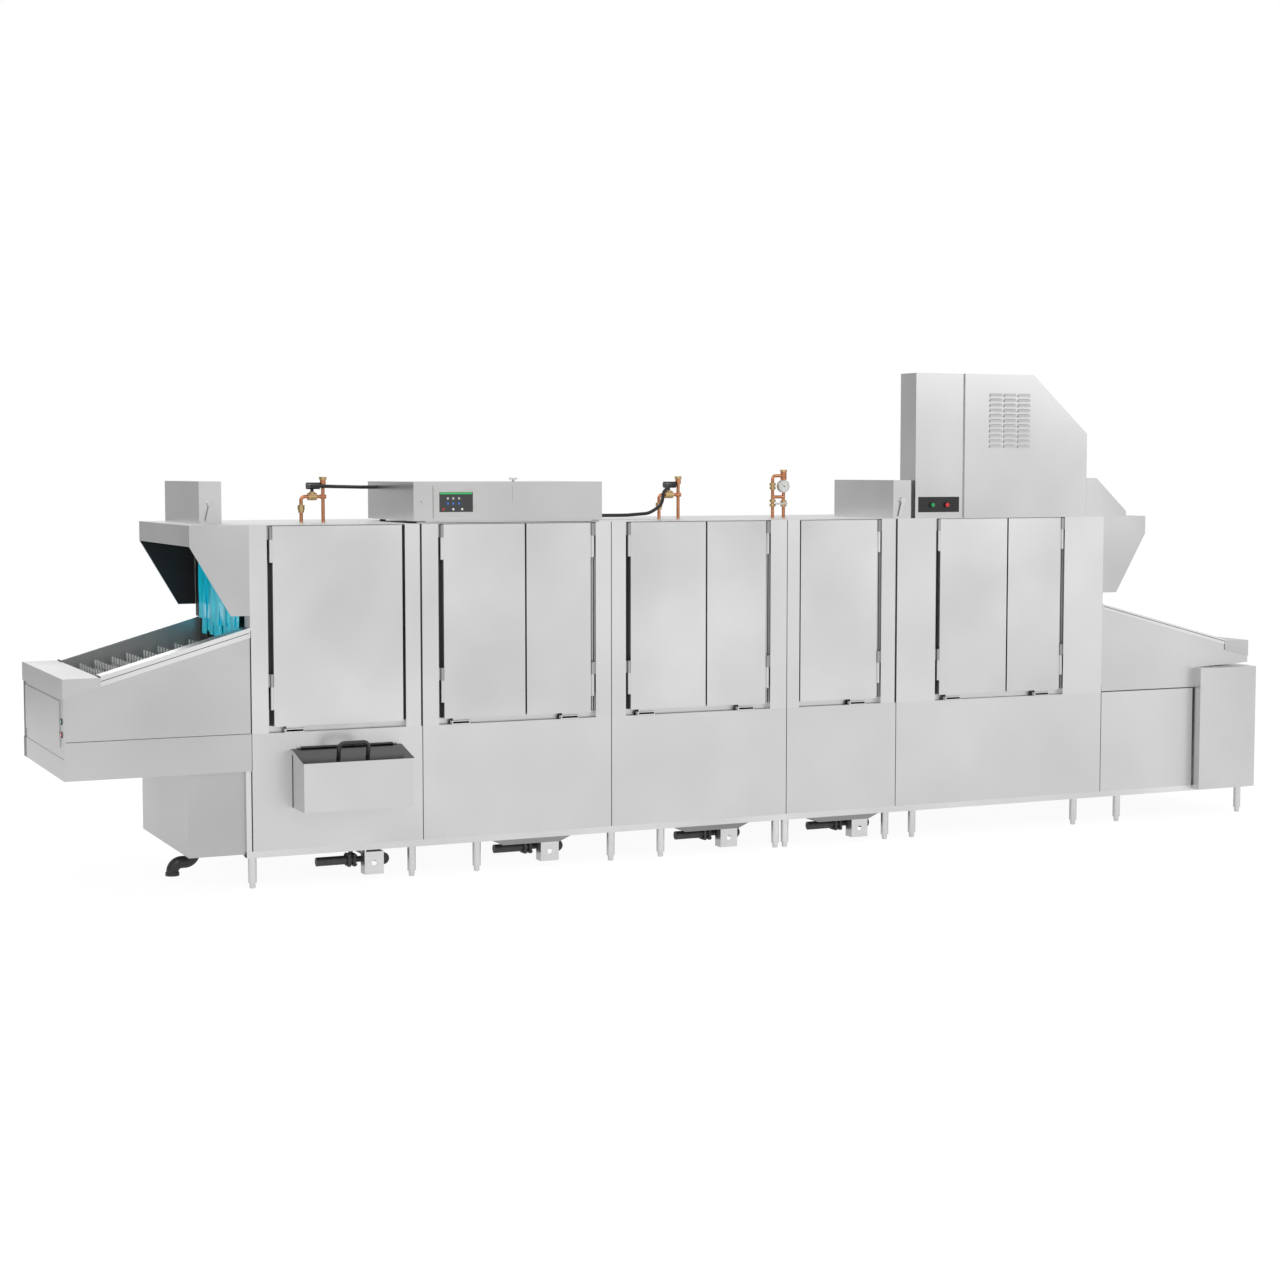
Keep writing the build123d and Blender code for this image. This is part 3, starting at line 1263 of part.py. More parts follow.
duct_inner = [(duct_start + sheet, body_top), (duct_start + sheet, duct_top - sheet),
              (duct_start + duct_flat_length - 1, duct_top - sheet), (duct_start + duct_length - sheet, duct_knee - 1),
              (duct_start + duct_length - sheet, body_top)]
nodes["exhaust_duct"] = [
    prism_along_y(duct_outer, sheet, duct_depth) - prism_along_y(duct_inner, 2 * sheet, duct_depth - sheet)
]
motor_front = blower_wheel_front + blower_wheel_length + 20
axle_bore = rod((blower_axis_x, motor_front, blower_axis_height), (0, 1, 0), 60, blower_shaft_radius + running_clearance)
blower_motor = rod((blower_axis_x, motor_front, blower_axis_height), (0, 1, 0), blower_depth - sheet - motor_front,
                   blower_motor_radius)
nodes["blower_motor"] = [blower_motor - axle_bore]
wheel_back = blower_wheel_front + blower_wheel_length
wheel_centre = (blower_axis_x, blower_wheel_front, blower_axis_height)
wheel = rod((blower_axis_x, wheel_back - 4, blower_axis_height), (0, 1, 0), 4, blower_wheel_radius)
wheel += tube(wheel_centre, (0, 1, 0), 6, blower_wheel_radius, blower_wheel_radius - 30)
for blade in range(blower_blade_count):
    angle = 360 / blower_blade_count * blade
    vane = slab(blower_wheel_radius - 28, blower_wheel_radius - 2, blower_wheel_front + 3, wheel_back - 2, -1.5, 1.5)
    wheel += Pos(blower_axis_x, 0, blower_axis_height) * Rot(0, angle, 0) * vane
wheel += rod((blower_axis_x, wheel_back - 40, blower_axis_height), (0, 1, 0), 100, blower_shaft_radius)
nodes["blower_wheel"] = [wheel]
plate_x0 = switch_box_start + (switch_box_width - switch_plate_width) / 2
plate_z0 = body_top + switch_plate_bottom
plate_front = -switch_plate_thickness
nodes["switch_plate"] = [
    slab(plate_x0, plate_x0 + switch_plate_width, plate_front, 0, plate_z0, plate_z0 + switch_plate_height)
]
nodes["blower_button_rings"] = []
blower_buttons = {}
button_z = plate_z0 + switch_plate_height * 0.47
for name, offset in [("blower_start_button", -0.5), ("blower_stop_button", 0.5)]:
    x = plate_x0 + switch_plate_width / 2 + offset * button_spacing
    nodes["blower_button_rings"].append(
        tube((x, plate_front - button_ring_depth, button_z), (0, 1, 0), button_ring_depth, ring_radius, ring_bore))
    start = plate_front - button_travel - running_clearance * 10
    nodes[name] = [rod((x, start, button_z), (0, -1, 0), button_length, button_radius)]
    blower_buttons[name] = (x, start, button_z)

# ---------------------------------------------------------------- roof plumbing
nodes["copper_pipes"] = []
nodes["brass_fittings"] = []
nodes["vacuum_breakers"] = []
nodes["solenoid_coils"] = []
loop_z = body_top + loop_height
breaker_bottom = body_top + breaker_height - breaker_depth


def riser_loop(x):
    """Two risers joined by a bridge, with a union on the first and a vacuum breaker on the second."""
    y = plumbing_depth
    right = x + riser_spacing
    route = [(x, y, body_top), (x, y, loop_z), (right, y, loop_z)]
    pipe = bent_rod(route, 2 * pipe_radius, pipe_radius)
    stem = rod((right, y, body_top), (0, 0, 1), breaker_height - breaker_depth, pipe_radius)
    stem += rod((right, y, breaker_bottom - tee_length), (0, 0, 1), tee_length, tee_radius)
    stem += rod((right - tee_radius, y, loop_z), (1, 0, 0), 2 * tee_radius, pipe_radius + sheet)
    nodes["copper_pipes"].append(pipe + stem)
    union_z = body_top + 62
    nodes["brass_fittings"].append(tube((x, y, union_z), (0, 0, 1), 24, fitting_radius + 3, pipe_radius))
    nodes["brass_fittings"].append(tube((x, y, union_z - 14), (0, 0, 1), 14, fitting_radius, pipe_radius))
    solenoid = rod((x + riser_spacing / 2 - 22, y, loop_z), (1, 0, 0), 44, fitting_radius + 4)
    solenoid += rod((x + riser_spacing / 2, y, loop_z), (0, 0, 1), bonnet_height, fitting_radius)
    solenoid -= rod((x, y, loop_z), (1, 0, 0), riser_spacing, pipe_radius)
    nodes["brass_fittings"].append(solenoid)
    nodes["vacuum_breakers"].append(rod((right, y, breaker_bottom), (0, 0, 1), breaker_depth, breaker_radius))
    coil_x = x + riser_spacing / 2
    coil_z = loop_z + coil_lift
    coil_start = coil_x - coil_back
    coil = rod((coil_start, y, coil_z), (1, 0, 0), right - tee_radius - coil_gap - coil_start, coil_radius)
    coil += rod((coil_x, y, loop_z + bonnet_height), (0, 0, 1), coil_lift - bonnet_height, coil_radius / 2)
    outlet_x = coil_x + coil_outlet_shift
    outlet_y = y - coil_radius - coil_outlet
    outlet = rod((outlet_x, y, coil_z), (0, -1, 0), y - outlet_y, conduit_radius + 1)
    nodes["solenoid_coils"].append(coil + outlet)
    return (outlet_x, outlet_y, coil_z)


first_coil = riser_loop(prewash_riser_x)
second_coil = riser_loop(wash_riser_x)
rinse_right = rinse_riser_x + rinse_riser_spacing
bridge_z = body_top + rinse_top_bridge
rinse_route = [(rinse_riser_x, plumbing_depth, body_top), (rinse_riser_x, plumbing_depth, bridge_z),
               (rinse_right, plumbing_depth, bridge_z)]
left_pipe = bent_rod(rinse_route, 2 * pipe_radius, pipe_radius)
right_pipe = rod((rinse_right, plumbing_depth, body_top), (0, 0, 1), rinse_top_bridge, pipe_radius)
rinse_tee_low = bridge_z - rinse_tee_length / 2
right_pipe += rod((rinse_right, plumbing_depth, rinse_tee_low), (0, 0, 1), rinse_tee_length, rinse_tee_radius)
low_bridge = rod((rinse_riser_x, plumbing_depth, body_top + rinse_low_bridge), (1, 0, 0), rinse_riser_spacing,
                 pipe_radius)
nodes["copper_pipes"].append(left_pipe + right_pipe + low_bridge)
nodes["vacuum_breakers"].append(
    rod((rinse_right, plumbing_depth, rinse_tee_low + rinse_tee_length), (0, 0, 1), rinse_cap_height, breaker_radius))
for z in (60, 84, 154, 174):
    nodes["brass_fittings"].append(
        tube((rinse_riser_x, plumbing_depth, body_top + z), (0, 0, 1), 16, fitting_radius + 2, pipe_radius))
nodes["brass_fittings"].append(
    tube((rinse_right, plumbing_depth, body_top + 60), (0, 0, 1), 34, fitting_radius + 2, pipe_radius))
gauge_z = body_top + gauge_height
gauge_x = rinse_right + gauge_shift
gauge_front = plumbing_depth - pipe_radius - 20
gauge = rod((gauge_x, gauge_front, gauge_z), (0, -1, 0), gauge_depth, gauge_radius)
gauge_back = plumbing_depth - gauge_front
gauge += rod((rinse_right, plumbing_depth, gauge_z), (gauge_shift, -gauge_back, 0),
             (gauge_shift ** 2 + gauge_back ** 2) ** 0.5, fitting_radius - 6)
gauge -= rod((rinse_right, plumbing_depth, body_top), (0, 0, 1), rinse_top_bridge, pipe_radius)
nodes["pressure_gauge"] = [gauge]
lever_z = body_top + 76
lever_x = rinse_right
stem_y = plumbing_depth - fitting_radius - sheet
stud = rod((lever_x, stem_y, lever_z), (0, -1, 0), valve_stud_length, valve_stud_radius)
nodes["brass_fittings"].append(stud)
lever = rod((lever_x, stem_y - 1, lever_z), (0, -1, 0), valve_stud_length - 1, valve_hub_radius)
lever += slab(lever_x - valve_lever_length, lever_x, stem_y - 9, stem_y - 5, lever_z - 6, lever_z + 6)
nodes["valve_lever"] = [
    lever - rod((lever_x, stem_y, lever_z), (0, -1, 0), valve_stud_length, valve_stud_radius + running_clearance)
]

def offset_route(start, steps, end):
    """The corners of a conduit, as steps on from its start, and the point where it enters a wall."""
    points = [start]
    for dx, dy, dz in steps:
        x, y, z = points[-1]
        points.append((x + dx, y + dy, z + dz))
    return points + [end]


first_entry = (control_start, control_depth - first_entry_setback, first_coil[2] - 8)
first_route = offset_route(first_coil, [(0, -30, 0), (110, 12, -3)], first_entry)
first_route.insert(3, (first_entry[0] - 70, first_entry[1], first_entry[2]))
second_height = control_bottom + conduit_radius + 1
second_route = offset_route(second_coil, [(0, -26, 0), (-40, 0, -38), (-8, 8, -70)], second_coil)[:-1]
second_y = second_route[-1][1] + 14
second_route += [(second_coil[0] - 118, second_y - 4, second_height + 9), (second_coil[0] - 250, second_y, second_height),
                 (control_end, second_y, second_height)]
nodes["conduits"] = [
    bent_rod(first_route, first_bends, conduit_radius),
    bent_rod(second_route, second_bends, conduit_radius),
]

# ---------------------------------------------------------------- files
# Sub-assemblies whose pieces are fixed together and made of the same stock share a file.
shared_files = {
    "base_frame": ["base_frame", "legs", "valve_covers"],
    "door_surrounds": ["front_posts", "door_frames"],
    "body_shell": ["roof_panels", "back_panels", "end_walls", "zone_bulkheads"],
    "hinge_pins": ["hinge_pins", "cabinet_hinge_pins", "scrap_lid_pin", "cover_hinge", "latch_stud"],
    "wash_tanks": ["wash_tanks", "scrap_screens", "sump_pans"],
    "wash_arms": ["upper_wash_arms", "lower_wash_arms", "wash_risers"],
    "pumps_and_valves": ["pump_volutes", "drain_valves", "valve_actuators"],
    "motors": ["pump_motors", "gearmotor", "motor_shelf", "blower_motor"],
    "conveyor_chains": ["conveyor_chains", "drive_chain"],
    "conveyor_track": ["track_rails", "shaft_bearings"],
    "tail_shaft": ["tail_shaft", "tail_sprockets"],
    "drive_shaft": ["drive_shaft", "drive_sprockets"],
    "load_section": ["load_side_panels", "load_trough", "load_underside", "load_skirt", "end_access_panel"],
    "unload_section": ["unload_side_panels", "unload_trough", "unload_underside"],
    "table_rails": ["load_rails", "unload_rails"],
    "end_caps": ["load_end_cap", "load_cap_sides", "unload_end_cap"],
    "hoods": ["load_hood", "unload_hood", "curtain_rods"],
    "drain_pipes": ["drain_elbow", "rear_drain_pipes"],
    "scrap_box": ["scrap_box", "scrap_basket"],
    "control_cover": ["control_cover", "screen_bezel", "pilot_light", "blank_name_plate"],
    "blower_housing": ["blower_housing", "louvres", "exhaust_duct"],
    "switch_box": ["switch_box", "joint_channel"],
    "black_fittings": ["switch_plate", "blower_button_rings", "load_button_rings", "access_latches", "control_feet"],
    "brass_fittings": ["brass_fittings", "vacuum_breakers"],
    "solenoids_and_conduits": ["solenoid_coils", "conduits"],
}


def main():
    os.makedirs("parts", exist_ok=True)
    shift = Location((-middle_x, -middle_y, 0))
    placed = {name for members in shared_files.values() for name in members}
    files = {name: [name] for name in nodes if name not in placed}
    files.update(shared_files)
    for name, members in files.items():
        solids = [solid for member in members for piece in nodes[member] for solid in piece.solids()]
        export_step(Compound(solids).moved(shift), f"parts/{name}.step")
        print(name, len(solids))
    print(len(files), "files")


main()
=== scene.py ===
import bpy
import bmesh
import json
from math import cos, radians, sin
from mathutils import Matrix, Vector


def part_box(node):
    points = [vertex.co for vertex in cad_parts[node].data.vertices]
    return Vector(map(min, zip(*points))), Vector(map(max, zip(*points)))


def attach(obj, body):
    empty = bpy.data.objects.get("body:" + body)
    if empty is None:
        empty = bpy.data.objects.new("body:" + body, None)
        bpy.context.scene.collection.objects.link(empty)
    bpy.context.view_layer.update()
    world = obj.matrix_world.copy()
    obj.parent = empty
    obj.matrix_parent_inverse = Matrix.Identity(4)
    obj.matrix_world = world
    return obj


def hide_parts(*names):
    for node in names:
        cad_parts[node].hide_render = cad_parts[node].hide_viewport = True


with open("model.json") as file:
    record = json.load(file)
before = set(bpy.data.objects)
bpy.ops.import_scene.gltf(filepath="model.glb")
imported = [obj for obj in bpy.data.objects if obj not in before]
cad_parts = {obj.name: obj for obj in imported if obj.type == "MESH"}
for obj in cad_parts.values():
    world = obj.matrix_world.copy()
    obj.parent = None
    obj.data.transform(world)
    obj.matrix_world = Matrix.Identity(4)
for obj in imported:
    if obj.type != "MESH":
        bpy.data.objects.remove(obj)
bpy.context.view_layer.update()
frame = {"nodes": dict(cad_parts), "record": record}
nodes = frame["nodes"]
print("frame loaded:", len(nodes), "nodes")

# camera and light
camera = {"place": (-5.3739, -11.0692, 2.0172), "turn": (85.702, 0.0, -24.602), "lens": 64.05, "sensor": 36.0,
          "clipEnd": 200}
cameraData = bpy.data.cameras.new("camera")
cameraData.lens = camera["lens"]
cameraData.sensor_width = camera["sensor"]
cameraData.clip_end = camera["clipEnd"]
cameraObject = bpy.data.objects.new("camera", cameraData)
cameraObject.location = camera["place"]
cameraObject.rotation_euler = [radians(a) for a in camera["turn"]]
bpy.context.scene.collection.objects.link(cameraObject)
bpy.context.scene.camera = cameraObject
bpy.context.scene.view_settings.view_transform = "Standard"


def newMaterial(name):
    material = bpy.data.materials.new(name)
    material.use_nodes = True
    tree = material.node_tree
    shader = tree.nodes["Principled BSDF"]
    return material, tree, shader


def addNode(tree, kind, **values):
    node = tree.nodes.new(kind)
    for key, value in values.items():
        if key.startswith("in"):
            node.inputs[int(key[2:])].default_value = value
        else:
            setattr(node, key, value)
    return node


def objectPoint(tree, scale):
    coord = addNode(tree, "ShaderNodeTexCoord")
    mapping = addNode(tree, "ShaderNodeMapping")
    mapping.inputs["Scale"].default_value = scale
    tree.links.new(coord.outputs["Object"], mapping.inputs["Vector"])
    return mapping.outputs["Vector"]


def noise(tree, vector, scale, detail=3.0, rough=0.5):
    node = addNode(tree, "ShaderNodeTexNoise")
    node.inputs["Scale"].default_value = scale
    node.inputs["Detail"].default_value = detail
    node.inputs["Roughness"].default_value = rough
    tree.links.new(vector, node.inputs["Vector"])
    return node.outputs["Fac"]


def ramp(tree, fac, stops):
    node = addNode(tree, "ShaderNodeValToRGB")
    while len(node.color_ramp.elements) < len(stops):
        node.color_ramp.elements.new(0.5)
    for element, (place, colour) in zip(node.color_ramp.elements, stops):
        element.position = place
        element.color = (*colour, 1) if len(colour) == 3 else colour
    tree.links.new(fac, node.inputs["Fac"])
    return node.outputs["Color"]


def scaleRange(tree, value, low, high, fromLow=0.0, fromHigh=1.0):
    node = addNode(tree, "ShaderNodeMapRange")
    node.inputs["From Min"].default_value = fromLow
    node.inputs["From Max"].default_value = fromHigh
    node.inputs["To Min"].default_value = low
    node.inputs["To Max"].default_value = high
    tree.links.new(value, node.inputs["Value"])
    return node.outputs["Result"]


def grey(value):
    return (value, value, value)


brushed = {"cloudScale": 1.6, "streakScale": 9.0, "streakShare": 0.14, "bump": 0.06, "bumpDepth": 0.0004}


def brushedSteel(name, tone=0.66, cloud=0.07, rough=(0.3, 0.42), grain=(1.2, 1.2, 240.0), offset=0.0):
    material, tree, shader = newMaterial(name)
    soft = objectPoint(tree, (1.0, 1.0, 1.0))
    if offset:
        soft.node.inputs["Location"].default_value = (offset, offset * 0.7, offset * 1.3)
    clouds = noise(tree, soft, brushed["cloudScale"], 2.0, 0.45)
    streaks = noise(tree, objectPoint(tree, grain), brushed["streakScale"], 4.0, 0.65)
    mixed = addNode(tree, "ShaderNodeMath", operation="MULTIPLY_ADD", in1=brushed["streakShare"])
    tree.links.new(streaks, mixed.inputs[0])
    tree.links.new(clouds, mixed.inputs[2])
    stops = [(0.36, grey(tone * (1 - cloud))), (0.58, grey(tone)), (0.78, grey(tone * (1 + cloud)))]
    colour = ramp(tree, mixed.outputs[0], stops)
    tree.links.new(colour, shader.inputs["Base Color"])
    roughness = scaleRange(tree, mixed.outputs[0], rough[0], rough[1], 0.35, 0.8)
    tree.links.new(roughness, shader.inputs["Roughness"])
    bump = addNode(tree, "ShaderNodeBump")
    bump.inputs["Strength"].default_value = brushed["bump"]
    bump.inputs["Distance"].default_value = brushed["bumpDepth"]
    tree.links.new(streaks, bump.inputs["Height"])
    tree.links.new(bump.outputs["Normal"], shader.inputs["Normal"])
    shader.inputs["Metallic"].default_value = 1.0
    return material


def mouldedPlastic(name, colour, rough=(0.35, 0.5), vary=0.25, grainScale=260.0, coat=0.0):
    material, tree, shader = newMaterial(name)
    point = objectPoint(tree, (1, 1, 1))
    clouds = noise(tree, point, 14.0, 3.0)
    dark = tuple(c * (1 - vary) for c in colour)
    light = tuple(min(1.0, c * (1 + vary)) for c in colour)
    tree.links.new(ramp(tree, clouds, [(0.3, dark), (0.7, light)]), shader.inputs["Base Color"])
    tree.links.new(scaleRange(tree, clouds, rough[0], rough[1], 0.3, 0.7), shader.inputs["Roughness"])
    bump = addNode(tree, "ShaderNodeBump")
    bump.inputs["Strength"].default_value = 0.15
    bump.inputs["Distance"].default_value = 0.0003
    tree.links.new(noise(tree, point, grainScale, 2.0), bump.inputs["Height"])
    tree.links.new(bump.outputs["Normal"], shader.inputs["Normal"])
    shader.inputs["Coat Weight"].default_value = coat
    return material


def castMetal(name, colour, metallic, rough=(0.3, 0.55), vary=0.3, scale=40.0):
    material, tree, shader = newMaterial(name)
    point = objectPoint(tree, (1, 1, 1))
    mottle = noise(tree, point, scale, 4.0, 0.6)
    dark = tuple(c * (1 - vary) for c in colour)
    light = tuple(min(1.0, c * (1 + vary)) for c in colour)
    tree.links.new(ramp(tree, mottle, [(0.32, dark), (0.55, colour), (0.75, light)]), shader.inputs["Base Color"])
    tree.links.new(scaleRange(tree, mottle, rough[0], rough[1], 0.3, 0.75), shader.inputs["Roughness"])
    bump = addNode(tree, "ShaderNodeBump")
    bump.inputs["Strength"].default_value = 0.2
    bump.inputs["Distance"].default_value = 0.0005
    tree.links.new(mottle, bump.inputs["Height"])
    tree.links.new(bump.outputs["Normal"], shader.inputs["Normal"])
    shader.inputs["Metallic"].default_value = metallic
    return material


steel = brushedSteel("brushedSteel")
doorSteel = brushedSteel("doorSteel", tone=0.68, cloud=0.09, offset=3.1)
panelSteel = brushedSteel("lowerPanelSteel", tone=0.67, cloud=0.06, offset=7.7)
postSteel = brushedSteel("postSteel", tone=0.7, cloud=0.05, offset=1.9)
tableSteel = brushedSteel("tableSteel", tone=0.58, cloud=0.08, offset=5.2)
hoodSteel = brushedSteel("hoodSteel", tone=0.56, cloud=0.1, offset=9.4)
# a darker finish for the preflush tank, which also stands in for painted shade on its left face
tankSteel = brushedSteel("preflushTankSteelAndShade", tone=0.5, cloud=0.08, offset=11.2)
boxSteel = brushedSteel("roofBoxSteel", tone=0.62, cloud=0.06, rough=(0.2, 0.3), offset=12.3)
frameSteel = brushedSteel("frameSteel", tone=0.74, cloud=0.1, rough=(0.22, 0.4), offset=2.4)
# painted reflection: the lid steel is near black, standing in for the dark that the polished lid mirrors
lidSteel = brushedSteel("darkReflectionLidSteel", tone=0.06, cloud=0.3, rough=(0.1, 0.2), offset=4.5)
# painted shade: the hinge steel is made darker so the hinges read as shade in the door gaps
shadedHingeSteel = brushedSteel("shadedHingeSteel", tone=0.4, cloud=0.15, rough=(0.25, 0.4), offset=6.1)
# painted shade: a darker copy of the steel for the wash tanks and wash arms inside the machine
innerSteel = brushedSteel("innerSteel", tone=0.3, cloud=0.15, rough=(0.35, 0.5), offset=8.8)
chainSteel = castMetal("oiledChainSteel", (0.16, 0.16, 0.17), 0.9)
valveIron = castMetal("valveBodyIron", (0.075, 0.075, 0.08), 0.6, (0.35, 0.55))
motorPaint = castMetal("motorEnamel", (0.12, 0.13, 0.14), 0.0, (0.35, 0.5), 0.15, 90.0)
copper = castMetal("drawnCopper", (0.62, 0.27, 0.14), 1.0, (0.18, 0.34), 0.22, 22.0)
brass = castMetal("castBrass", (0.62, 0.45, 0.22), 1.0, (0.25, 0.42), 0.25, 30.0)
zinc = castMetal("zincCase", (0.5, 0.52, 0.54), 1.0, (0.2, 0.35), 0.15, 30.0)
blackPlastic = mouldedPlastic("blackHandlePlastic", (0.012, 0.012, 0.013), (0.25, 0.4), coat=0.3)
blackPlate = mouldedPlastic("blackSwitchPlate", (0.006, 0.006, 0.006), (0.3, 0.42))
conduitRubber = mouldedPlastic("conduitRubber", (0.01, 0.01, 0.012), (0.3, 0.45))
drainPlastic = mouldedPlastic("drainPipePlastic", (0.02, 0.02, 0.022), (0.3, 0.45))
greenCap = mouldedPlastic("greenButtonCap", (0.0, 0.28, 0.07), (0.15, 0.25), 0.15, coat=0.6)
redCap = mouldedPlastic("redButtonCap", (0.62, 0.012, 0.01), (0.15, 0.25), 0.15, coat=0.6)
pegPlastic = mouldedPlastic("fingerPlastic", (0.58, 0.58, 0.56), (0.3, 0.45), 0.08)
linkPlastic = mouldedPlastic("beltLinkPlastic", (0.035, 0.037, 0.04), (0.35, 0.5))
# black rubber for seals, latches and gauge marks, also used for dark pieces that are painted shade in gaps, seams
# and grooves
sealRubber = mouldedPlastic("sealRubber", (0.008, 0.008, 0.009), (0.45, 0.6))
# painted shade: near-black sheets laid inside the hoods
hoodShadeBlack = castMetal("hoodPaintedShade", (0.02, 0.021, 0.023), 0.0, (0.5, 0.65), 0.3, 12.0)
bezelPlastic = mouldedPlastic("paleBezelPlastic", (0.5, 0.5, 0.49), (0.3, 0.42), 0.06)
glassBlack = mouldedPlastic("screenGlass", (0.006, 0.007, 0.009), (0.05, 0.09), 0.3, coat=1.0)
dialWhite = mouldedPlastic("dialEnamel", (0.75, 0.75, 0.72), (0.3, 0.4), 0.04)
iconGreen = mouldedPlastic("iconGreen", (0.03, 0.5, 0.12), (0.2, 0.3), 0.1)
iconBlue = mouldedPlastic("iconBlue", (0.03, 0.16, 0.6), (0.2, 0.3), 0.1)
iconRed = mouldedPlastic("iconRed", (0.6, 0.03, 0.02), (0.2, 0.3), 0.1)


vinylLook = {"shade": (0.002, 0.42, 0.55), "plain": (0.004, 0.6, 0.78), "light": (0.05, 0.78, 0.92), "glow": 0.18,
             "gloss": 0.3}


def vinylMaterial():
    material, tree, shader = newMaterial("curtainVinyl")
    point = objectPoint(tree, (1, 1, 0.35))
    folds = noise(tree, point, 18.0, 3.0)
    stops = [(0.3, vinylLook["shade"]), (0.55, vinylLook["plain"]), (0.78, vinylLook["light"])]
    colour = ramp(tree, folds, stops)
    tree.links.new(colour, shader.inputs["Base Color"])
    tree.links.new(colour, shader.inputs["Emission Color"])
    shader.inputs["Emission Strength"].default_value = vinylLook["glow"]  # painted glow: the vinyl gives off light of its own colour, standing in for light that comes through the thin strips
    tree.links.new(scaleRange(tree, folds, 0.12, 0.3, 0.3, 0.7), shader.inputs["Roughness"])
    shader.inputs["Specular IOR Level"].default_value = vinylLook["gloss"]
    return material


# the trough's far wall in Y, and how far to each side of it the painted shade inside the trough reaches
trough = {"backWall": 0.6, "reach": 0.0374, "tone": 0.56, "paintedShadeTone": 0.12}


def shadedInside(name, tone, paintedShadeTone):
    material = brushedSteel(name, tone=tone, cloud=0.08, offset=5.2)
    tree = material.node_tree
    shader = tree.nodes["Principled BSDF"]
    colour = shader.inputs["Base Color"].links[0].from_socket
    # painted shade: a band along the trough's back wall is coloured dark, standing in for the shade inside the
    # trough
    split = addNode(tree, "ShaderNodeSeparateXYZ")
    tree.links.new(objectPoint(tree, (1, 1, 1)), split.inputs[0])
    inner = addNode(tree, "ShaderNodeMath", operation="COMPARE", in1=trough["backWall"], in2=trough["reach"])
    tree.links.new(split.outputs["Y"], inner.inputs[0])
    mix = addNode(tree, "ShaderNodeMix", data_type="RGBA")
    tree.links.new(inner.outputs[0], mix.inputs["Factor"])
    tree.links.new(colour, mix.inputs["A"])
    mix.inputs["B"].default_value = (paintedShadeTone * 0.95, paintedShadeTone, paintedShadeTone * 0.97, 1)
    tree.links.new(mix.outputs["Result"], shader.inputs["Base Color"])
    return material


def paint(nodeName, material):
    mesh = nodes[nodeName].data
    mesh.materials.clear()
    mesh.materials.append(material)


finishes = {
    "steel": steel, "chain_steel": chainSteel, "black_plastic": blackPlate, "copper": copper, "brass": brass,
    "black_rubber": conduitRubber, "drain_plastic": drainPlastic, "flight_plastic": linkPlastic,
    "green_plastic": greenCap, "red_plastic": redCap, "motor_paint": motorPaint, "valve_iron": valveIron,
    "gauge_metal": zinc,
}
for part in frame["record"]["subparts"]:
    if part["material_slot"] in finishes:
        paint(part["node"], finishes[part["material_slot"]])
ownFinish = {
    "lower_panels": panelSteel, "door_surrounds": postSteel, "hoods": hoodSteel,
    "end_caps": tableSteel, "table_rails": frameSteel, "base_frame": frameSteel, "feet": frameSteel,
    "control_box": boxSteel, "control_cover": boxSteel, "blower_housing": boxSteel, "switch_box": boxSteel,
    "vent_cowls": boxSteel, "scrap_lid": lidSteel, "hinge_pins": shadedHingeSteel, "wash_tanks": innerSteel,
    "wash_arms": innerSteel, "preflush_tank": tankSteel, "scrap_lid_handle": blackPlastic,
}
for name, material in ownFinish.items():
    paint(name, material)
doorNodes = [name for name in nodes if name.endswith("_door") and name != "cabinet_door"]
for name in doorNodes:
    paint(name, doorSteel)
paint("touch_screen", glassBlack)
paint("load_section", shadedInside("loadTableSteel", trough["tone"], trough["paintedShadeTone"]))


def flightMaterial(name, line):
    material = linkPlastic.copy()
    material.name = name
    tree = material.node_tree
    shader = tree.nodes["Principled BSDF"]
    place = addNode(tree, "ShaderNodeSeparateXYZ")
    tree.links.new(objectPoint(tree, (1, 1, 1)), place.inputs[0])
    level = None
    for slope, lift in line:
        ramped = addNode(tree, "ShaderNodeMath", operation="MULTIPLY_ADD", in1=slope, in2=lift)
        tree.links.new(place.outputs["X"], ramped.inputs[0])
        if level is None:
            level = ramped.outputs[0]
            continue
        lower = addNode(tree, "ShaderNodeMath", operation="MINIMUM")
        tree.links.new(level, lower.inputs[0])
        tree.links.new(ramped.outputs[0], lower.inputs[1])
        level = lower.outputs[0]
    above = addNode(tree, "ShaderNodeMath", operation="SUBTRACT")
    tree.links.new(place.outputs["Z"], above.inputs[0])
    tree.links.new(level, above.inputs[1])
    pale = scaleRange(tree, above.outputs[0], 0.0, 1.0, flight["barTop"], flight["barTop"] + flight["fade"])
    dark = shader.inputs["Base Color"].links[0].from_socket
    mix = addNode(tree, "ShaderNodeMix", data_type="RGBA")
    tree.links.new(pale, mix.inputs["Factor"])
    tree.links.new(dark, mix.inputs[6])
    speckle = noise(tree, objectPoint(tree, (1, 1, 1)), 30.0, 3.0)
    tree.links.new(ramp(tree, speckle, [(0.3, flight["shade"]), (0.7, flight["light"])]), mix.inputs[7])
    tree.links.new(mix.outputs[2], shader.inputs["Base Color"])
    return material


# belt height along the machine, as the lower of three lines, and where a flight's bar ends
flight = {"barTop": 0.004, "fade": 0.003, "shade": (0.5, 0.5, 0.48), "light": (0.64, 0.64, 0.62),
          "line": [(0.18316, 0.946 + 0.18316 * 3.3535), (0.0, 1.12), (-0.13923, 1.12 + 0.13923 * 2.2265)]}
paint("conveyor_flights", flightMaterial("beltFlights", flight["line"]))
print("materials made")


near = 1e-5  # two places closer than this are the same


def finishPiece(mesh, name, material, body, replacing=()):
    bmesh.ops.recalc_face_normals(mesh, faces=mesh.faces)
    data = bpy.data.meshes.new(name)
    mesh.to_mesh(data)
    mesh.free()
    piece = bpy.data.objects.new(name, data)
    bpy.context.scene.collection.objects.link(piece)
    data.materials.append(material)
    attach(piece, body)
    if replacing:
        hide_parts(*replacing)
    return piece


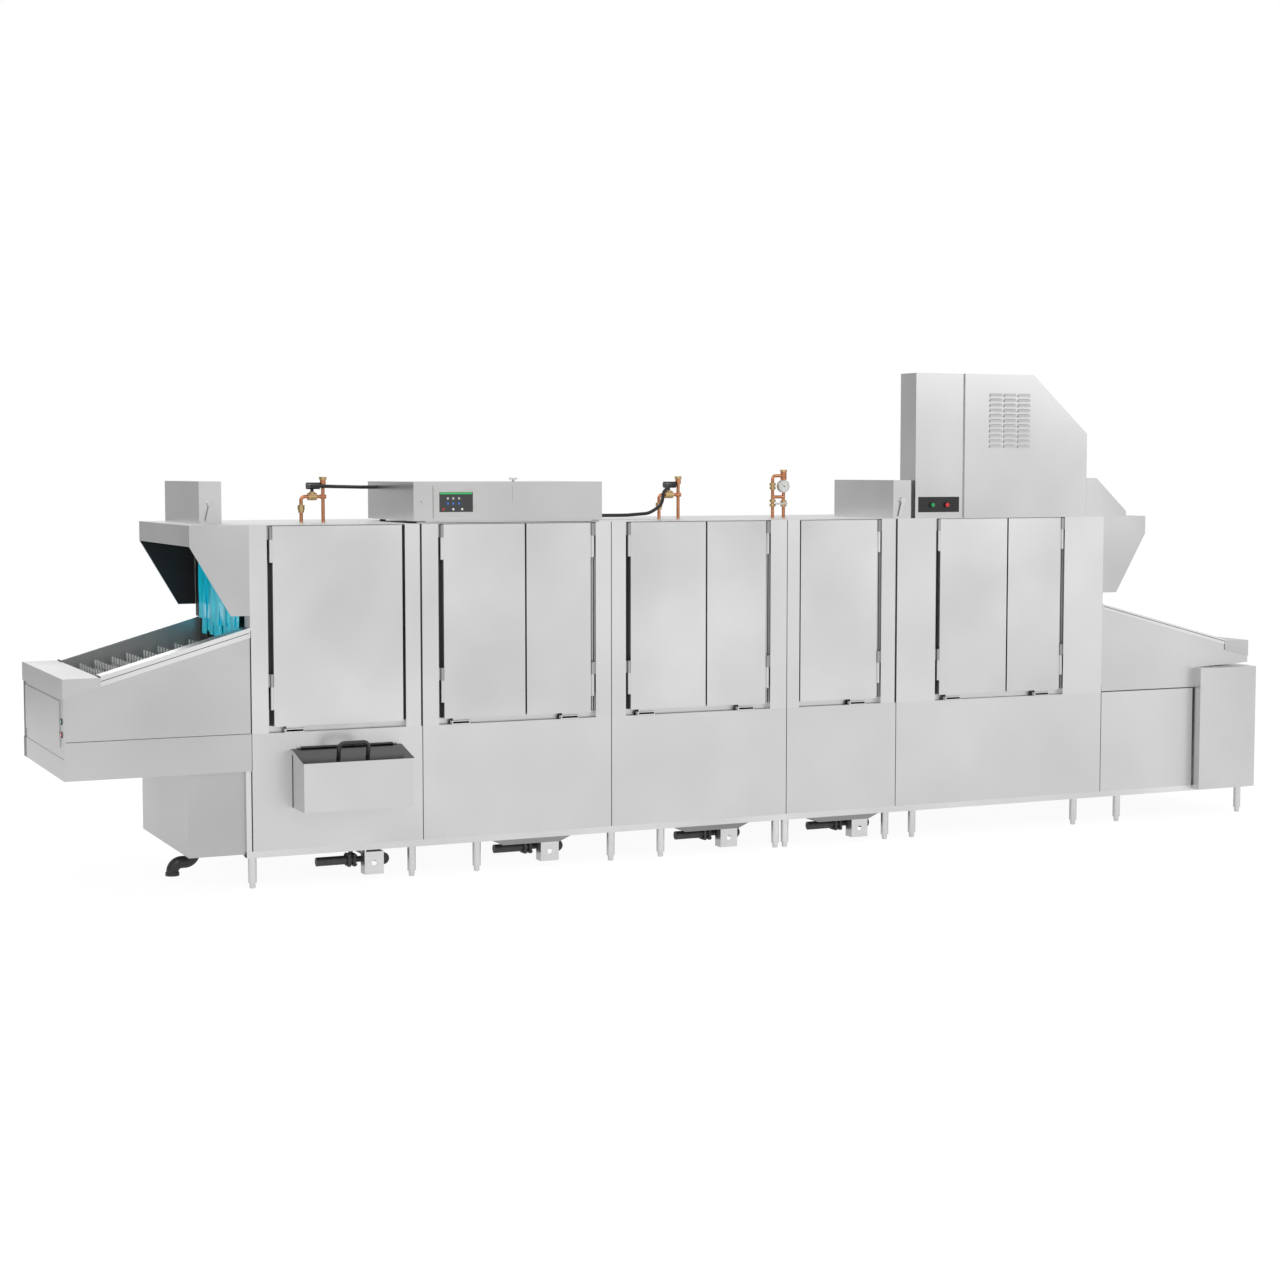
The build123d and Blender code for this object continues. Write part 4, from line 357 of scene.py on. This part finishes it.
def addBlock(mesh, low, high, edge=0.0, segments=2):
    made = bmesh.ops.create_cube(mesh, size=1.0)
    size = [b - a for a, b in zip(low, high)]
    middle = [(a + b) / 2 for a, b in zip(low, high)]
    bmesh.ops.scale(mesh, vec=size, verts=made["verts"])
    bmesh.ops.translate(mesh, vec=middle, verts=made["verts"])
    if edge:
        edges = list({line for vert in made["verts"] for line in vert.link_edges})
        bmesh.ops.bevel(mesh, geom=edges, offset=edge, segments=segments, profile=0.5, affect="EDGES", material=-1)
    return made["verts"]


def addRod(mesh, start, end, radius, sides=16, tip=None):
    axis = Vector(end) - Vector(start)
    made = bmesh.ops.create_cone(mesh, cap_ends=True, segments=sides, radius1=radius,
                                 radius2=radius if tip is None else tip, depth=axis.length)
    turn = Vector((0, 0, 1)).rotation_difference(axis).to_matrix().to_4x4()
    middle = (Vector(start) + Vector(end)) / 2
    bmesh.ops.transform(mesh, matrix=Matrix.Translation(middle) @ turn, verts=made["verts"])
    return made["verts"]


# door handles
handle = {"width": 0.099, "insetLeft": 0.034, "insetRight": 0.072, "insetPrewash": 0.048, "top": 0.7695,
          "rise": 0.0192, "depth": 0.0285, "round": 0.005, "narrow": 0.93, "axisInset": 0.010, "cover": 0.0005}
behaviour = frame["record"]["behaviour"]
bodyOf = {node: body for body, members in behaviour["bodies"].items() for node in members}
hingeAt = {joint["child"]: joint["pos_m"][0] for joint in behaviour["joints"] if joint["type"] == "hinge"}
doorPlan = {}
for name in doorNodes:
    low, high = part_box(name)
    axisX = hingeAt[bodyOf[name]]
    side = -1 if abs(axisX - low[0]) < abs(axisX - high[0]) else 1
    edge = axisX - side * handle["axisInset"]
    doorPlan[name] = {"axis": axisX, "side": side, "edge": edge, "low": low, "high": high}
    inset = handle["insetLeft"] if side < 0 else handle["insetRight"]
    if name == "prewash_door":
        inset = handle["insetPrewash"]
    start = edge + inset - handle["cover"] if side < 0 else edge - inset - handle["width"] + handle["cover"]
    mesh = bmesh.new()
    verts = addBlock(mesh, (start, low[1], handle["top"] - handle["rise"]),
                     (start + handle["width"], low[1] + handle["depth"], handle["top"]))
    upper = [vert for vert in verts if vert.co.z > handle["top"] - 0.001]
    middle = Vector((start + handle["width"] / 2, 0, 0))
    bmesh.ops.scale(mesh, vec=(handle["narrow"], 1, 1), verts=upper, space=Matrix.Translation(-middle))
    bmesh.ops.bevel(mesh, geom=list(mesh.edges), offset=handle["round"], segments=4, profile=0.5, affect="EDGES",
                    material=-1)
    finishPiece(mesh, "handle_" + name, blackPlastic, bodyOf[name])
print("door handles made")

# strip curtains
curtain = {"strip": 0.078, "step": 0.08, "thick": 0.0028, "rows": 12, "sway": 0.0035, "layers": (-0.0035, 0.0035),
           "frontLift": 0.066, "firstStrip": 0.037, "endInset": 0.0015, "topInset": 0.001, "unevenStep": 0.006}
vinyl = vinylMaterial()


def addStrip(mesh, x, y, low, high, phase):
    steps = curtain["rows"]
    made = bmesh.ops.create_grid(mesh, x_segments=4, y_segments=steps, size=0.5)
    for vert in made["verts"]:
        across, along = vert.co.x, vert.co.y + 0.5
        drop = 1 - along
        bow = curtain["sway"] * drop * (sin(across * 2.6 + phase) + 0.8 * sin(along * 5 + phase * 2.1))
        vert.co = Vector((x + bow, y + across * curtain["strip"], low + (high - low) * along))
    return made


low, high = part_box("strip_curtains")
bandStart = low[1] + curtain["firstStrip"]
bandCount = round((high[1] - low[1] + 0.006) / curtain["step"])
ends = ((low[0] + curtain["endInset"], 0.0, "load"), (high[0] - curtain["endInset"], 2.0, "unload"))
stripTop = high[2] - curtain["topInset"]
for endX, tag, hung in ends:
    mesh = bmesh.new()
    for layer, shift in enumerate(curtain["layers"]):
        for index in range(bandCount - layer):
            y = bandStart + (index + 0.5 * layer) * curtain["step"]
            lift = curtain["unevenStep"] * ((index * 7) % 5) + (curtain["frontLift"] if layer == 0 else 0.0)
            addStrip(mesh, endX + shift, y, low[2] + lift, stripTop, index * 1.7 + tag + layer)
    piece = finishPiece(mesh, hung + "Curtain", vinyl, "chassis", ["strip_curtains"])
    solid = piece.modifiers.new("thickness", "SOLIDIFY")
    solid.thickness = curtain["thick"]
    solid.offset = 0
print("strip curtains made")

# black rubber seals in the door gaps, which also paint the shade there, and painted shade in the section seams
layout = {"middleX": 2.5535, "middleY": 0.4415}


def fromLayout(x, y, z):
    return ((x / 1000) - layout["middleX"], (y / 1000) - layout["middleY"], z / 1000)


def layoutBlock(mesh, x0, x1, y0, y1, z0, z1, edge=0.0):
    return addBlock(mesh, fromLayout(x0, y0, z0), fromLayout(x1, y1, z1), edge)


seal = {"deepFrom": 33.0, "deepTo": 35.7, "bottom": 782, "top": 1742, "behind": 6, "postGap": 18, "prewashGap": 15,
        "finalGap": 7, "middleBack": 15, "middleOver": 24, "doorInset": 10, "stripFrom": 11.5, "stripHalf": 3.6,
        "seams": [(864, 6), (1885, 0), (2903, 0), (3577, 8), (4930, 0)], "half": 1.9, "seamDeep": (4, 16),
        "upper": (751, 1745), "lower": (184, 749), "endSeam": (-2.6, 3.4, -1.2, 2.5, 574, 1246)}
# black rubber seals behind the door edges; they also paint the shade that fills the door gaps
mesh = bmesh.new()
for name, plan in doorPlan.items():
    axis = (plan["axis"] + layout["middleX"]) * 1000
    if plan["side"] < 0:
        spans = [(axis - seal["postGap"], axis + seal["doorInset"] + seal["behind"])]
    else:
        spans = [(axis - seal["doorInset"] - seal["behind"], axis + seal["postGap"])]
    freeEdge = ((plan["high"][0] if plan["side"] < 0 else plan["low"][0]) + layout["middleX"]) * 1000
    if name == "prewash_door":
        spans.append((freeEdge - seal["behind"], freeEdge + seal["prewashGap"]))
    elif name == "final_rinse_door":
        spans.append((freeEdge - seal["finalGap"], freeEdge + seal["behind"]))
    elif plan["side"] < 0:
        spans.append((freeEdge - seal["middleBack"], freeEdge + seal["middleOver"]))
    for x0, x1 in spans:
        layoutBlock(mesh, x0, x1, seal["deepFrom"], seal["deepTo"], seal["bottom"], seal["top"], 0.0006)
finishPiece(mesh, "doorSealsAndGapShade", sealRubber, "chassis")
mesh = bmesh.new()
for plan in doorPlan.values():
    middle = (plan["axis"] + layout["middleX"]) * 1000 + plan["side"] * seal["stripFrom"]
    layoutBlock(mesh, middle - seal["stripHalf"], middle + seal["stripHalf"], seal["deepFrom"] - 2.4,
                seal["deepFrom"] - 0.3, seal["bottom"] + 2, seal["top"] - 2, 0.0006)
finishPiece(mesh, "doorStrips", postSteel, "chassis")
# painted shade: dark strips set inside the section seams where there is only shade
mesh = bmesh.new()
for x, extra in seal["seams"]:
    layoutBlock(mesh, x - seal["half"] - extra, x + seal["half"], *seal["seamDeep"], *seal["upper"], 0.0004)
    layoutBlock(mesh, x - seal["half"], x + seal["half"], *seal["seamDeep"], *seal["lower"], 0.0004)
layoutBlock(mesh, *seal["endSeam"], 0.0005)
finishPiece(mesh, "seamSeals", sealRubber, "chassis")
print("seals made")

# dark sheets under the hoods, painted shade inside the hoods
hood = {"reach": 287, "lip": 100, "lowReach": 92, "low": 1318, "roof": 1747, "skin": 1.0, "depth": 1080,
        "sideInset": 2.2, "wallGap": 3, "top": 1750, "mouthTop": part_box("strip_curtains")[1][2] * 1000 + 14}


def hoodSide(mesh, wall, side, y0, y1):
    inner, outer = wall + side * hood["wallGap"], wall + side * (hood["reach"] - hood["wallGap"])
    outline = [(inner, hood["low"] + 2), (inner, hood["roof"]), (outer, hood["roof"]),
               (outer, hood["top"] - hood["lip"] + 2), (wall + side * (hood["lowReach"] - 1), hood["low"] + 2)]
    corners = [mesh.verts.new(fromLayout(x, y0, z)) for x, z in outline]
    face = mesh.faces.new(corners)
    thick = bmesh.ops.extrude_face_region(mesh, geom=[face])
    moved = [item for item in thick["geom"] if isinstance(item, bmesh.types.BMVert)]
    bmesh.ops.translate(mesh, vec=(0, (y1 - y0) / 1000, 0), verts=moved)


mesh = bmesh.new()
for wall, side in ((0, -1), (4930, 1)):
    hoodSide(mesh, wall, side, hood["sideInset"], hood["sideInset"] + hood["skin"])
    backSide = hood["depth"] - hood["sideInset"]
    hoodSide(mesh, wall, side, backSide - hood["skin"], backSide)
    ends = sorted([wall + side * hood["wallGap"], wall + side * (hood["reach"] - hood["wallGap"])])
    layoutBlock(mesh, ends[0], ends[1], 4, hood["depth"] - 4, hood["roof"] - 1.2, hood["roof"] - 0.2)
    ends = sorted([wall + side * 0.4, wall + side * 1.6])
    layoutBlock(mesh, ends[0], ends[1], 4, hood["depth"] - 4, hood["mouthTop"], hood["roof"] - 1.4)
finishPiece(mesh, "hoodLinings", hoodShadeBlack, "chassis")
print("hood linings made")

# dark pieces round the load end: painted shade on the end wall and in the access panel and ledge gaps, a dark edge
# strip, and black latches
dark = {"endWall": (-3.2, -1.2, 815, 1065, 1139, 1740), "panelStrip": (-888.9, -887.4, 1000, 1024, 722, 940),
        "ledge": (-876, -7, -2.9, -0.6, 751.6, 753.2), "gasket": (199.6, 201.6, -6, -0.4, 384, 640),
        "latch": (-888.9, -886.4, 1026, 1036), "latchAt": (775, 842), "latchHalf": 7}
mesh = bmesh.new()
for name, edge in (("endWall", 0.0005), ("panelStrip", 0.0004), ("ledge", 0.0005), ("gasket", 0.0004)):
    layoutBlock(mesh, *dark[name], edge)
for z in dark["latchAt"]:
    layoutBlock(mesh, *dark["latch"], z - dark["latchHalf"], z + dark["latchHalf"], 0.0006)
finishPiece(mesh, "endDetails", sealRubber, "chassis")
print("end details made")

# belt fingers
finger = {"first": -634, "pitch": 80, "last": 5671, "radius": 0.0056, "rise": 0.0405, "tip": 0.0665,
          "round": 0.0028, "across": 12,
          "belt": [(-800, 946), (150, 1120), (4780, 1120), (5843, 972)]}


def beltLevel(x):
    for (x0, z0), (x1, z1) in zip(finger["belt"], finger["belt"][1:]):
        if x <= x1:
            return z0 + (z1 - z0) * (x - x0) / (x1 - x0)
    return finger["belt"][-1][1]


low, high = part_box("conveyor_flights")
pegPitch = (high[1] - low[1]) / finger["across"]
pattern = bmesh.new()
base = finger["tip"] - finger["rise"]
bmesh.ops.create_cone(pattern, cap_ends=True, segments=8, radius1=finger["radius"], radius2=finger["radius"],
                      depth=base)
rim = [edge for edge in pattern.edges if all(vert.co.z > 0 for vert in edge.verts)]
bmesh.ops.bevel(pattern, geom=rim, offset=finger["round"], segments=2, profile=0.5, affect="EDGES", material=-1)
patternMesh = bpy.data.meshes.new("fingerPattern")
pattern.to_mesh(patternMesh)
pattern.free()
mesh = bmesh.new()
row = 0
x = finger["first"]
while x <= finger["last"]:
    shift = pegPitch / 4 * (1 if row % 2 else -1)
    for across in range(finger["across"]):
        y = low[1] + pegPitch * (across + 0.5) + shift
        before = len(mesh.verts)
        mesh.from_mesh(patternMesh)
        mesh.verts.ensure_lookup_table()
        fresh = mesh.verts[before:]
        centre = Vector((x / 1000 - layout["middleX"], y, beltLevel(x) / 1000 + finger["rise"] + base / 2))
        bmesh.ops.transform(mesh, matrix=Matrix.Translation(centre), verts=fresh)
    x += finger["pitch"]
    row += 1
bpy.data.meshes.remove(patternMesh)
finishPiece(mesh, "beltFingers", pegPlastic, "chassis")
print("belt fingers made:", row, "rows")

# control panel
panel = {"ring": 0.022, "coverStep": 0.008, "rim": 0.0015, "step": 0.0006, "bar": 0.011,
         "icon": 0.055, "iconTall": 0.05,
         "icons": [(0.23, 0.43, iconBlue), (0.39, 0.43, iconBlue), (0.56, 0.43, iconBlue), (0.10, 0.15, iconRed),
                   (0.39, 0.15, dialWhite), (0.65, 0.15, dialWhite), (0.23, 0.68, bezelPlastic),
                   (0.39, 0.68, bezelPlastic), (0.56, 0.68, bezelPlastic)]}
low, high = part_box("touch_screen")
coverFront = low[1] + panel["coverStep"]
rimFront = low[1] - panel["rim"]
mesh = bmesh.new()
addBlock(mesh, (low[0] - panel["ring"], rimFront, low[2] - panel["ring"]),
         (high[0] + panel["ring"], coverFront, high[2] + panel["ring"]))
front = [face for face in mesh.faces if face.normal.y < -0.9]
bmesh.ops.inset_region(mesh, faces=front, thickness=panel["ring"] + 0.001, use_even_offset=True)
bmesh.ops.translate(mesh, vec=(0, panel["step"], 0), verts=list({vert for face in front for vert in face.verts}))
outer = [edge for edge in mesh.edges if all(abs(vert.co.y - rimFront) < near for vert in edge.verts)]
bmesh.ops.bevel(mesh, geom=outer, offset=0.0007, segments=2, profile=0.5, affect="EDGES", material=-1)
holeDepth = rimFront + panel["step"]
bezelHole = [face for face in mesh.faces if face.normal.y < -0.9
             and abs(face.calc_center_median().y - holeDepth) < near]
bmesh.ops.delete(mesh, geom=bezelHole, context="FACES_ONLY")
finishPiece(mesh, "screenBezel", bezelPlastic, "cover")
wide, tall = high[0] - low[0], high[2] - low[2]
mesh = bmesh.new()
addBlock(mesh, (low[0] + 0.004, low[1] - 0.0006, high[2] - panel["bar"]),
         (high[0] - 0.004, low[1] + 0.0004, high[2] - 0.003), 0.0004)
finishPiece(mesh, "screenBar", iconGreen, "cover")
for index, (across, up, material) in enumerate(panel["icons"]):
    mesh = bmesh.new()
    x, z = low[0] + wide * across, low[2] + tall * up
    addBlock(mesh, (x, low[1] - 0.0006, z - tall * panel["iconTall"]),
             (x + wide * panel["icon"], low[1] + 0.0004, z + tall * panel["iconTall"]), 0.0005)
    finishPiece(mesh, "screenIcon" + str(index + 1), material, "cover")
print("control panel made")

# gauge dial
gauge = {"radius": 0.034, "rim": 0.0045, "ticks": 11, "tick": (0.022, 0.0275), "needle": 0.021, "tail": 0.006,
         "sweep": (225, 270), "reads": 150}
low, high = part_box("pressure_gauge")
centre = Vector((low[0] + gauge["radius"], low[1], (low[2] + high[2]) / 2))
mesh = bmesh.new()
addRod(mesh, centre + Vector((0, 0.004, 0)), centre + Vector((0, -0.0008, 0)), gauge["radius"] - gauge["rim"], 40)
finishPiece(mesh, "gaugeDial", dialWhite, "chassis")
mesh = bmesh.new()
addRod(mesh, centre + Vector((0, 0.003, 0)), centre + Vector((0, -0.0012, 0)), 0.0035, 16)
for tick in range(gauge["ticks"]):
    angle = radians(gauge["sweep"][0] - gauge["sweep"][1] * tick / (gauge["ticks"] - 1))
    out = Vector((cos(angle), 0, sin(angle)))
    face = centre + Vector((0, -0.001, 0))
    addRod(mesh, face + out * gauge["tick"][0], face + out * gauge["tick"][1], 0.0006, 6)
needleOut = Vector((cos(radians(gauge["reads"])), 0, sin(radians(gauge["reads"]))))
pivot = centre + Vector((0, -0.0014, 0))
addRod(mesh, pivot - needleOut * gauge["tail"], pivot + needleOut * gauge["needle"], 0.0011, 8, 0.0004)
finishPiece(mesh, "gaugeMarks", sealRubber, "chassis")
print("gauge dial made")

# button caps
button = {"round": 0.0009}
for name, material, axis in (("load_start_button", greenCap, 0), ("load_stop_button", redCap, 0),
                             ("blower_start_button", greenCap, 1), ("blower_stop_button", redCap, 1)):
    low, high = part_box(name)
    centre = [(a + b) / 2 for a, b in zip(low, high)]
    radius = (high[2] - low[2]) / 2
    start, end = list(centre), list(centre)
    start[axis], end[axis] = high[axis], low[axis]
    mesh = bmesh.new()
    addRod(mesh, start, end, radius, 28)
    rim = [edge for edge in mesh.edges if all(abs(vert.co[axis] - end[axis]) < near for vert in edge.verts)]
    bmesh.ops.bevel(mesh, geom=rim, offset=button["round"], segments=3, profile=0.5, affect="EDGES", material=-1)
    finishPiece(mesh, "cap_" + name, material, bodyOf[name], [name])
print("button caps made")

# table rail bands: thin dark strips, painted shade of a groove along each rail face
band = {"drop": 24, "tall": 3, "proud": 0.9, "load": (-712, -6, 1261, 0.289), "unload": (4936, 5797, 2545.7, -0.262)}
low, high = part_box("table_rails")
mesh = bmesh.new()
for x0, x1, top, slope in (band["load"], band["unload"]):
    for y in (low[1] - band["proud"] / 1000, high[1] - band["proud"] / 1000):
        verts = addBlock(mesh, (x0 / 1000 - layout["middleX"], y, -band["tall"] / 2000),
                         (x1 / 1000 - layout["middleX"], y + 2 * band["proud"] / 1000, band["tall"] / 2000))
        for vert in verts:
            along = (vert.co.x + layout["middleX"]) * 1000
            drop = band["drop"] if slope > 0 else band["drop"] / 2
            vert.co.z += (top + slope * along - drop) / 1000
finishPiece(mesh, "railGrooveShade", sealRubber, "chassis")
print("rail bands made")

# floor, world and lamps
stage = {"reach": 60, "floorTone": 0.9, "floorWhite": 1.03, "floorShare": 0.92}
floorMesh = bmesh.new()
bmesh.ops.create_grid(floorMesh, x_segments=1, y_segments=1, size=stage["reach"])
floorData = bpy.data.meshes.new("floor")
floorMesh.to_mesh(floorData)
floorMesh.free()
floor = bpy.data.objects.new("floor", floorData)
bpy.context.scene.collection.objects.link(floor)


# how much of the white also reaches rays that light the object or mirror in it
whiteElsewhere = 0.5


def seenWhite(tree, output, plain, share):
    path = addNode(tree, "ShaderNodeLightPath")
    total = addNode(tree, "ShaderNodeMath", operation="ADD", use_clamp=True, in1=whiteElsewhere)
    tree.links.new(path.outputs["Is Camera Ray"], total.inputs[0])
    more = addNode(tree, "ShaderNodeMath", operation="ADD", use_clamp=True)
    tree.links.new(total.outputs[0], more.inputs[0])
    tree.links.new(path.outputs["Is Transmission Ray"], more.inputs[1])
    amount = addNode(tree, "ShaderNodeMath", operation="MULTIPLY", in1=share)
    tree.links.new(more.outputs[0], amount.inputs[0])
    mix = addNode(tree, "ShaderNodeMixShader")
    tree.links.new(amount.outputs[0], mix.inputs[0])
    tree.links.new(plain.outputs[0], mix.inputs[1])
    tree.links.new(mix.outputs[0], output.inputs["Surface"])
    return mix


floorMaterial = bpy.data.materials.new("studioFloor")
floorMaterial.use_nodes = True
floorTree = floorMaterial.node_tree
floorTree.nodes.clear()
floorOut = addNode(floorTree, "ShaderNodeOutputMaterial")
floorPlain = addNode(floorTree, "ShaderNodeBsdfDiffuse")
floorPlain.inputs["Color"].default_value = (*grey(stage["floorTone"]), 1)
floorGlow = addNode(floorTree, "ShaderNodeEmission")
floorGlow.inputs["Strength"].default_value = stage["floorWhite"]
floorMix = seenWhite(floorTree, floorOut, floorPlain, stage["floorShare"])
floorTree.links.new(floorGlow.outputs[0], floorMix.inputs[2])
floorData.materials.append(floorMaterial)

world = bpy.data.worlds.new("studio")
bpy.context.scene.world = world
world.use_nodes = True
worldTree = world.node_tree
worldTree.nodes.clear()
worldOut = addNode(worldTree, "ShaderNodeOutputWorld")
worldFill = addNode(worldTree, "ShaderNodeBackground")
worldFill.inputs["Strength"].default_value = 1.0
room = {"left": 0.5, "front": 1.0, "above": 0.85, "below": 0.7}
direction = addNode(worldTree, "ShaderNodeTexCoord")
split = addNode(worldTree, "ShaderNodeSeparateXYZ")
worldTree.links.new(direction.outputs["Generated"], split.inputs[0])
sideways = scaleRange(worldTree, split.outputs["X"], room["left"], room["front"], -0.9, 0.35)
upward = scaleRange(worldTree, split.outputs["Z"], room["below"], room["above"], -0.3, 0.5)
cloudy = scaleRange(worldTree, noise(worldTree, direction.outputs["Generated"], 2.2, 2.0), 0.84, 1.16, 0.3, 0.7)
first = addNode(worldTree, "ShaderNodeMath", operation="MULTIPLY")
worldTree.links.new(sideways, first.inputs[0])
worldTree.links.new(upward, first.inputs[1])
second = addNode(worldTree, "ShaderNodeMath", operation="MULTIPLY")
worldTree.links.new(first.outputs[0], second.inputs[0])
worldTree.links.new(cloudy, second.inputs[1])
worldTree.links.new(second.outputs[0], worldFill.inputs["Color"])
worldWhite = addNode(worldTree, "ShaderNodeBackground")
worldWhite.inputs["Color"].default_value = (1, 1, 1, 1)
worldWhite.inputs["Strength"].default_value = 1.0
worldMix = seenWhite(worldTree, worldOut, worldFill, 1.0)
worldTree.links.new(worldWhite.outputs[0], worldMix.inputs[2])

lamps = [
    {"name": "keyLamp", "place": (-4.0, -8.0, 6.5), "aim": (0, 0, 1.0), "power": 170, "size": 5.0},
    {"name": "fillLamp", "place": (7.0, -7.0, 5.0), "aim": (1, 0, 1.0), "power": 70, "size": 5.0},
    {"name": "backLamp", "place": (-3.0, 7.0, 6.0), "aim": (0, 0, 1.5), "power": 90, "size": 4.0},
]
for lamp in lamps:
    data = bpy.data.lights.new(lamp["name"], "AREA")
    data.energy = lamp["power"]
    data.size = lamp["size"]
    light = bpy.data.objects.new(lamp["name"], data)
    light.location = lamp["place"]
    light.rotation_euler = (Vector(lamp["aim"]) - Vector(lamp["place"])).to_track_quat("-Z", "Y").to_euler()
    bpy.context.scene.collection.objects.link(light)

# dark cards that give the metal something to mirror
cardHides = ("visible_camera", "visible_diffuse", "visible_shadow")
cards = [
    {"name": "endCard", "low": (-16.0, 9.0, 0.0), "high": (-4.2, 9.1, 7.0), "tone": 0.42},
    {"name": "leftCard", "low": (-14.0, -6.0, 0.0), "high": (-13.9, 9.0, 7.0), "tone": 0.5},
]
for card in cards:
    mesh = bmesh.new()
    addBlock(mesh, card["low"], card["high"])
    data = bpy.data.meshes.new(card["name"])
    mesh.to_mesh(data)
    mesh.free()
    item = bpy.data.objects.new(card["name"], data)
    bpy.context.scene.collection.objects.link(item)
    cardMaterial = bpy.data.materials.new(card["name"])
    cardMaterial.use_nodes = True
    cardTree = cardMaterial.node_tree
    cardTree.nodes.clear()
    cardOut = addNode(cardTree, "ShaderNodeOutputMaterial")
    cardGlow = addNode(cardTree, "ShaderNodeEmission")
    cardGlow.inputs["Color"].default_value = (*grey(card["tone"]), 1)
    cardTree.links.new(cardGlow.outputs[0], cardOut.inputs["Surface"])
    data.materials.append(cardMaterial)
    for ray in cardHides:
        setattr(item, ray, False)
print("stage and lamps made")
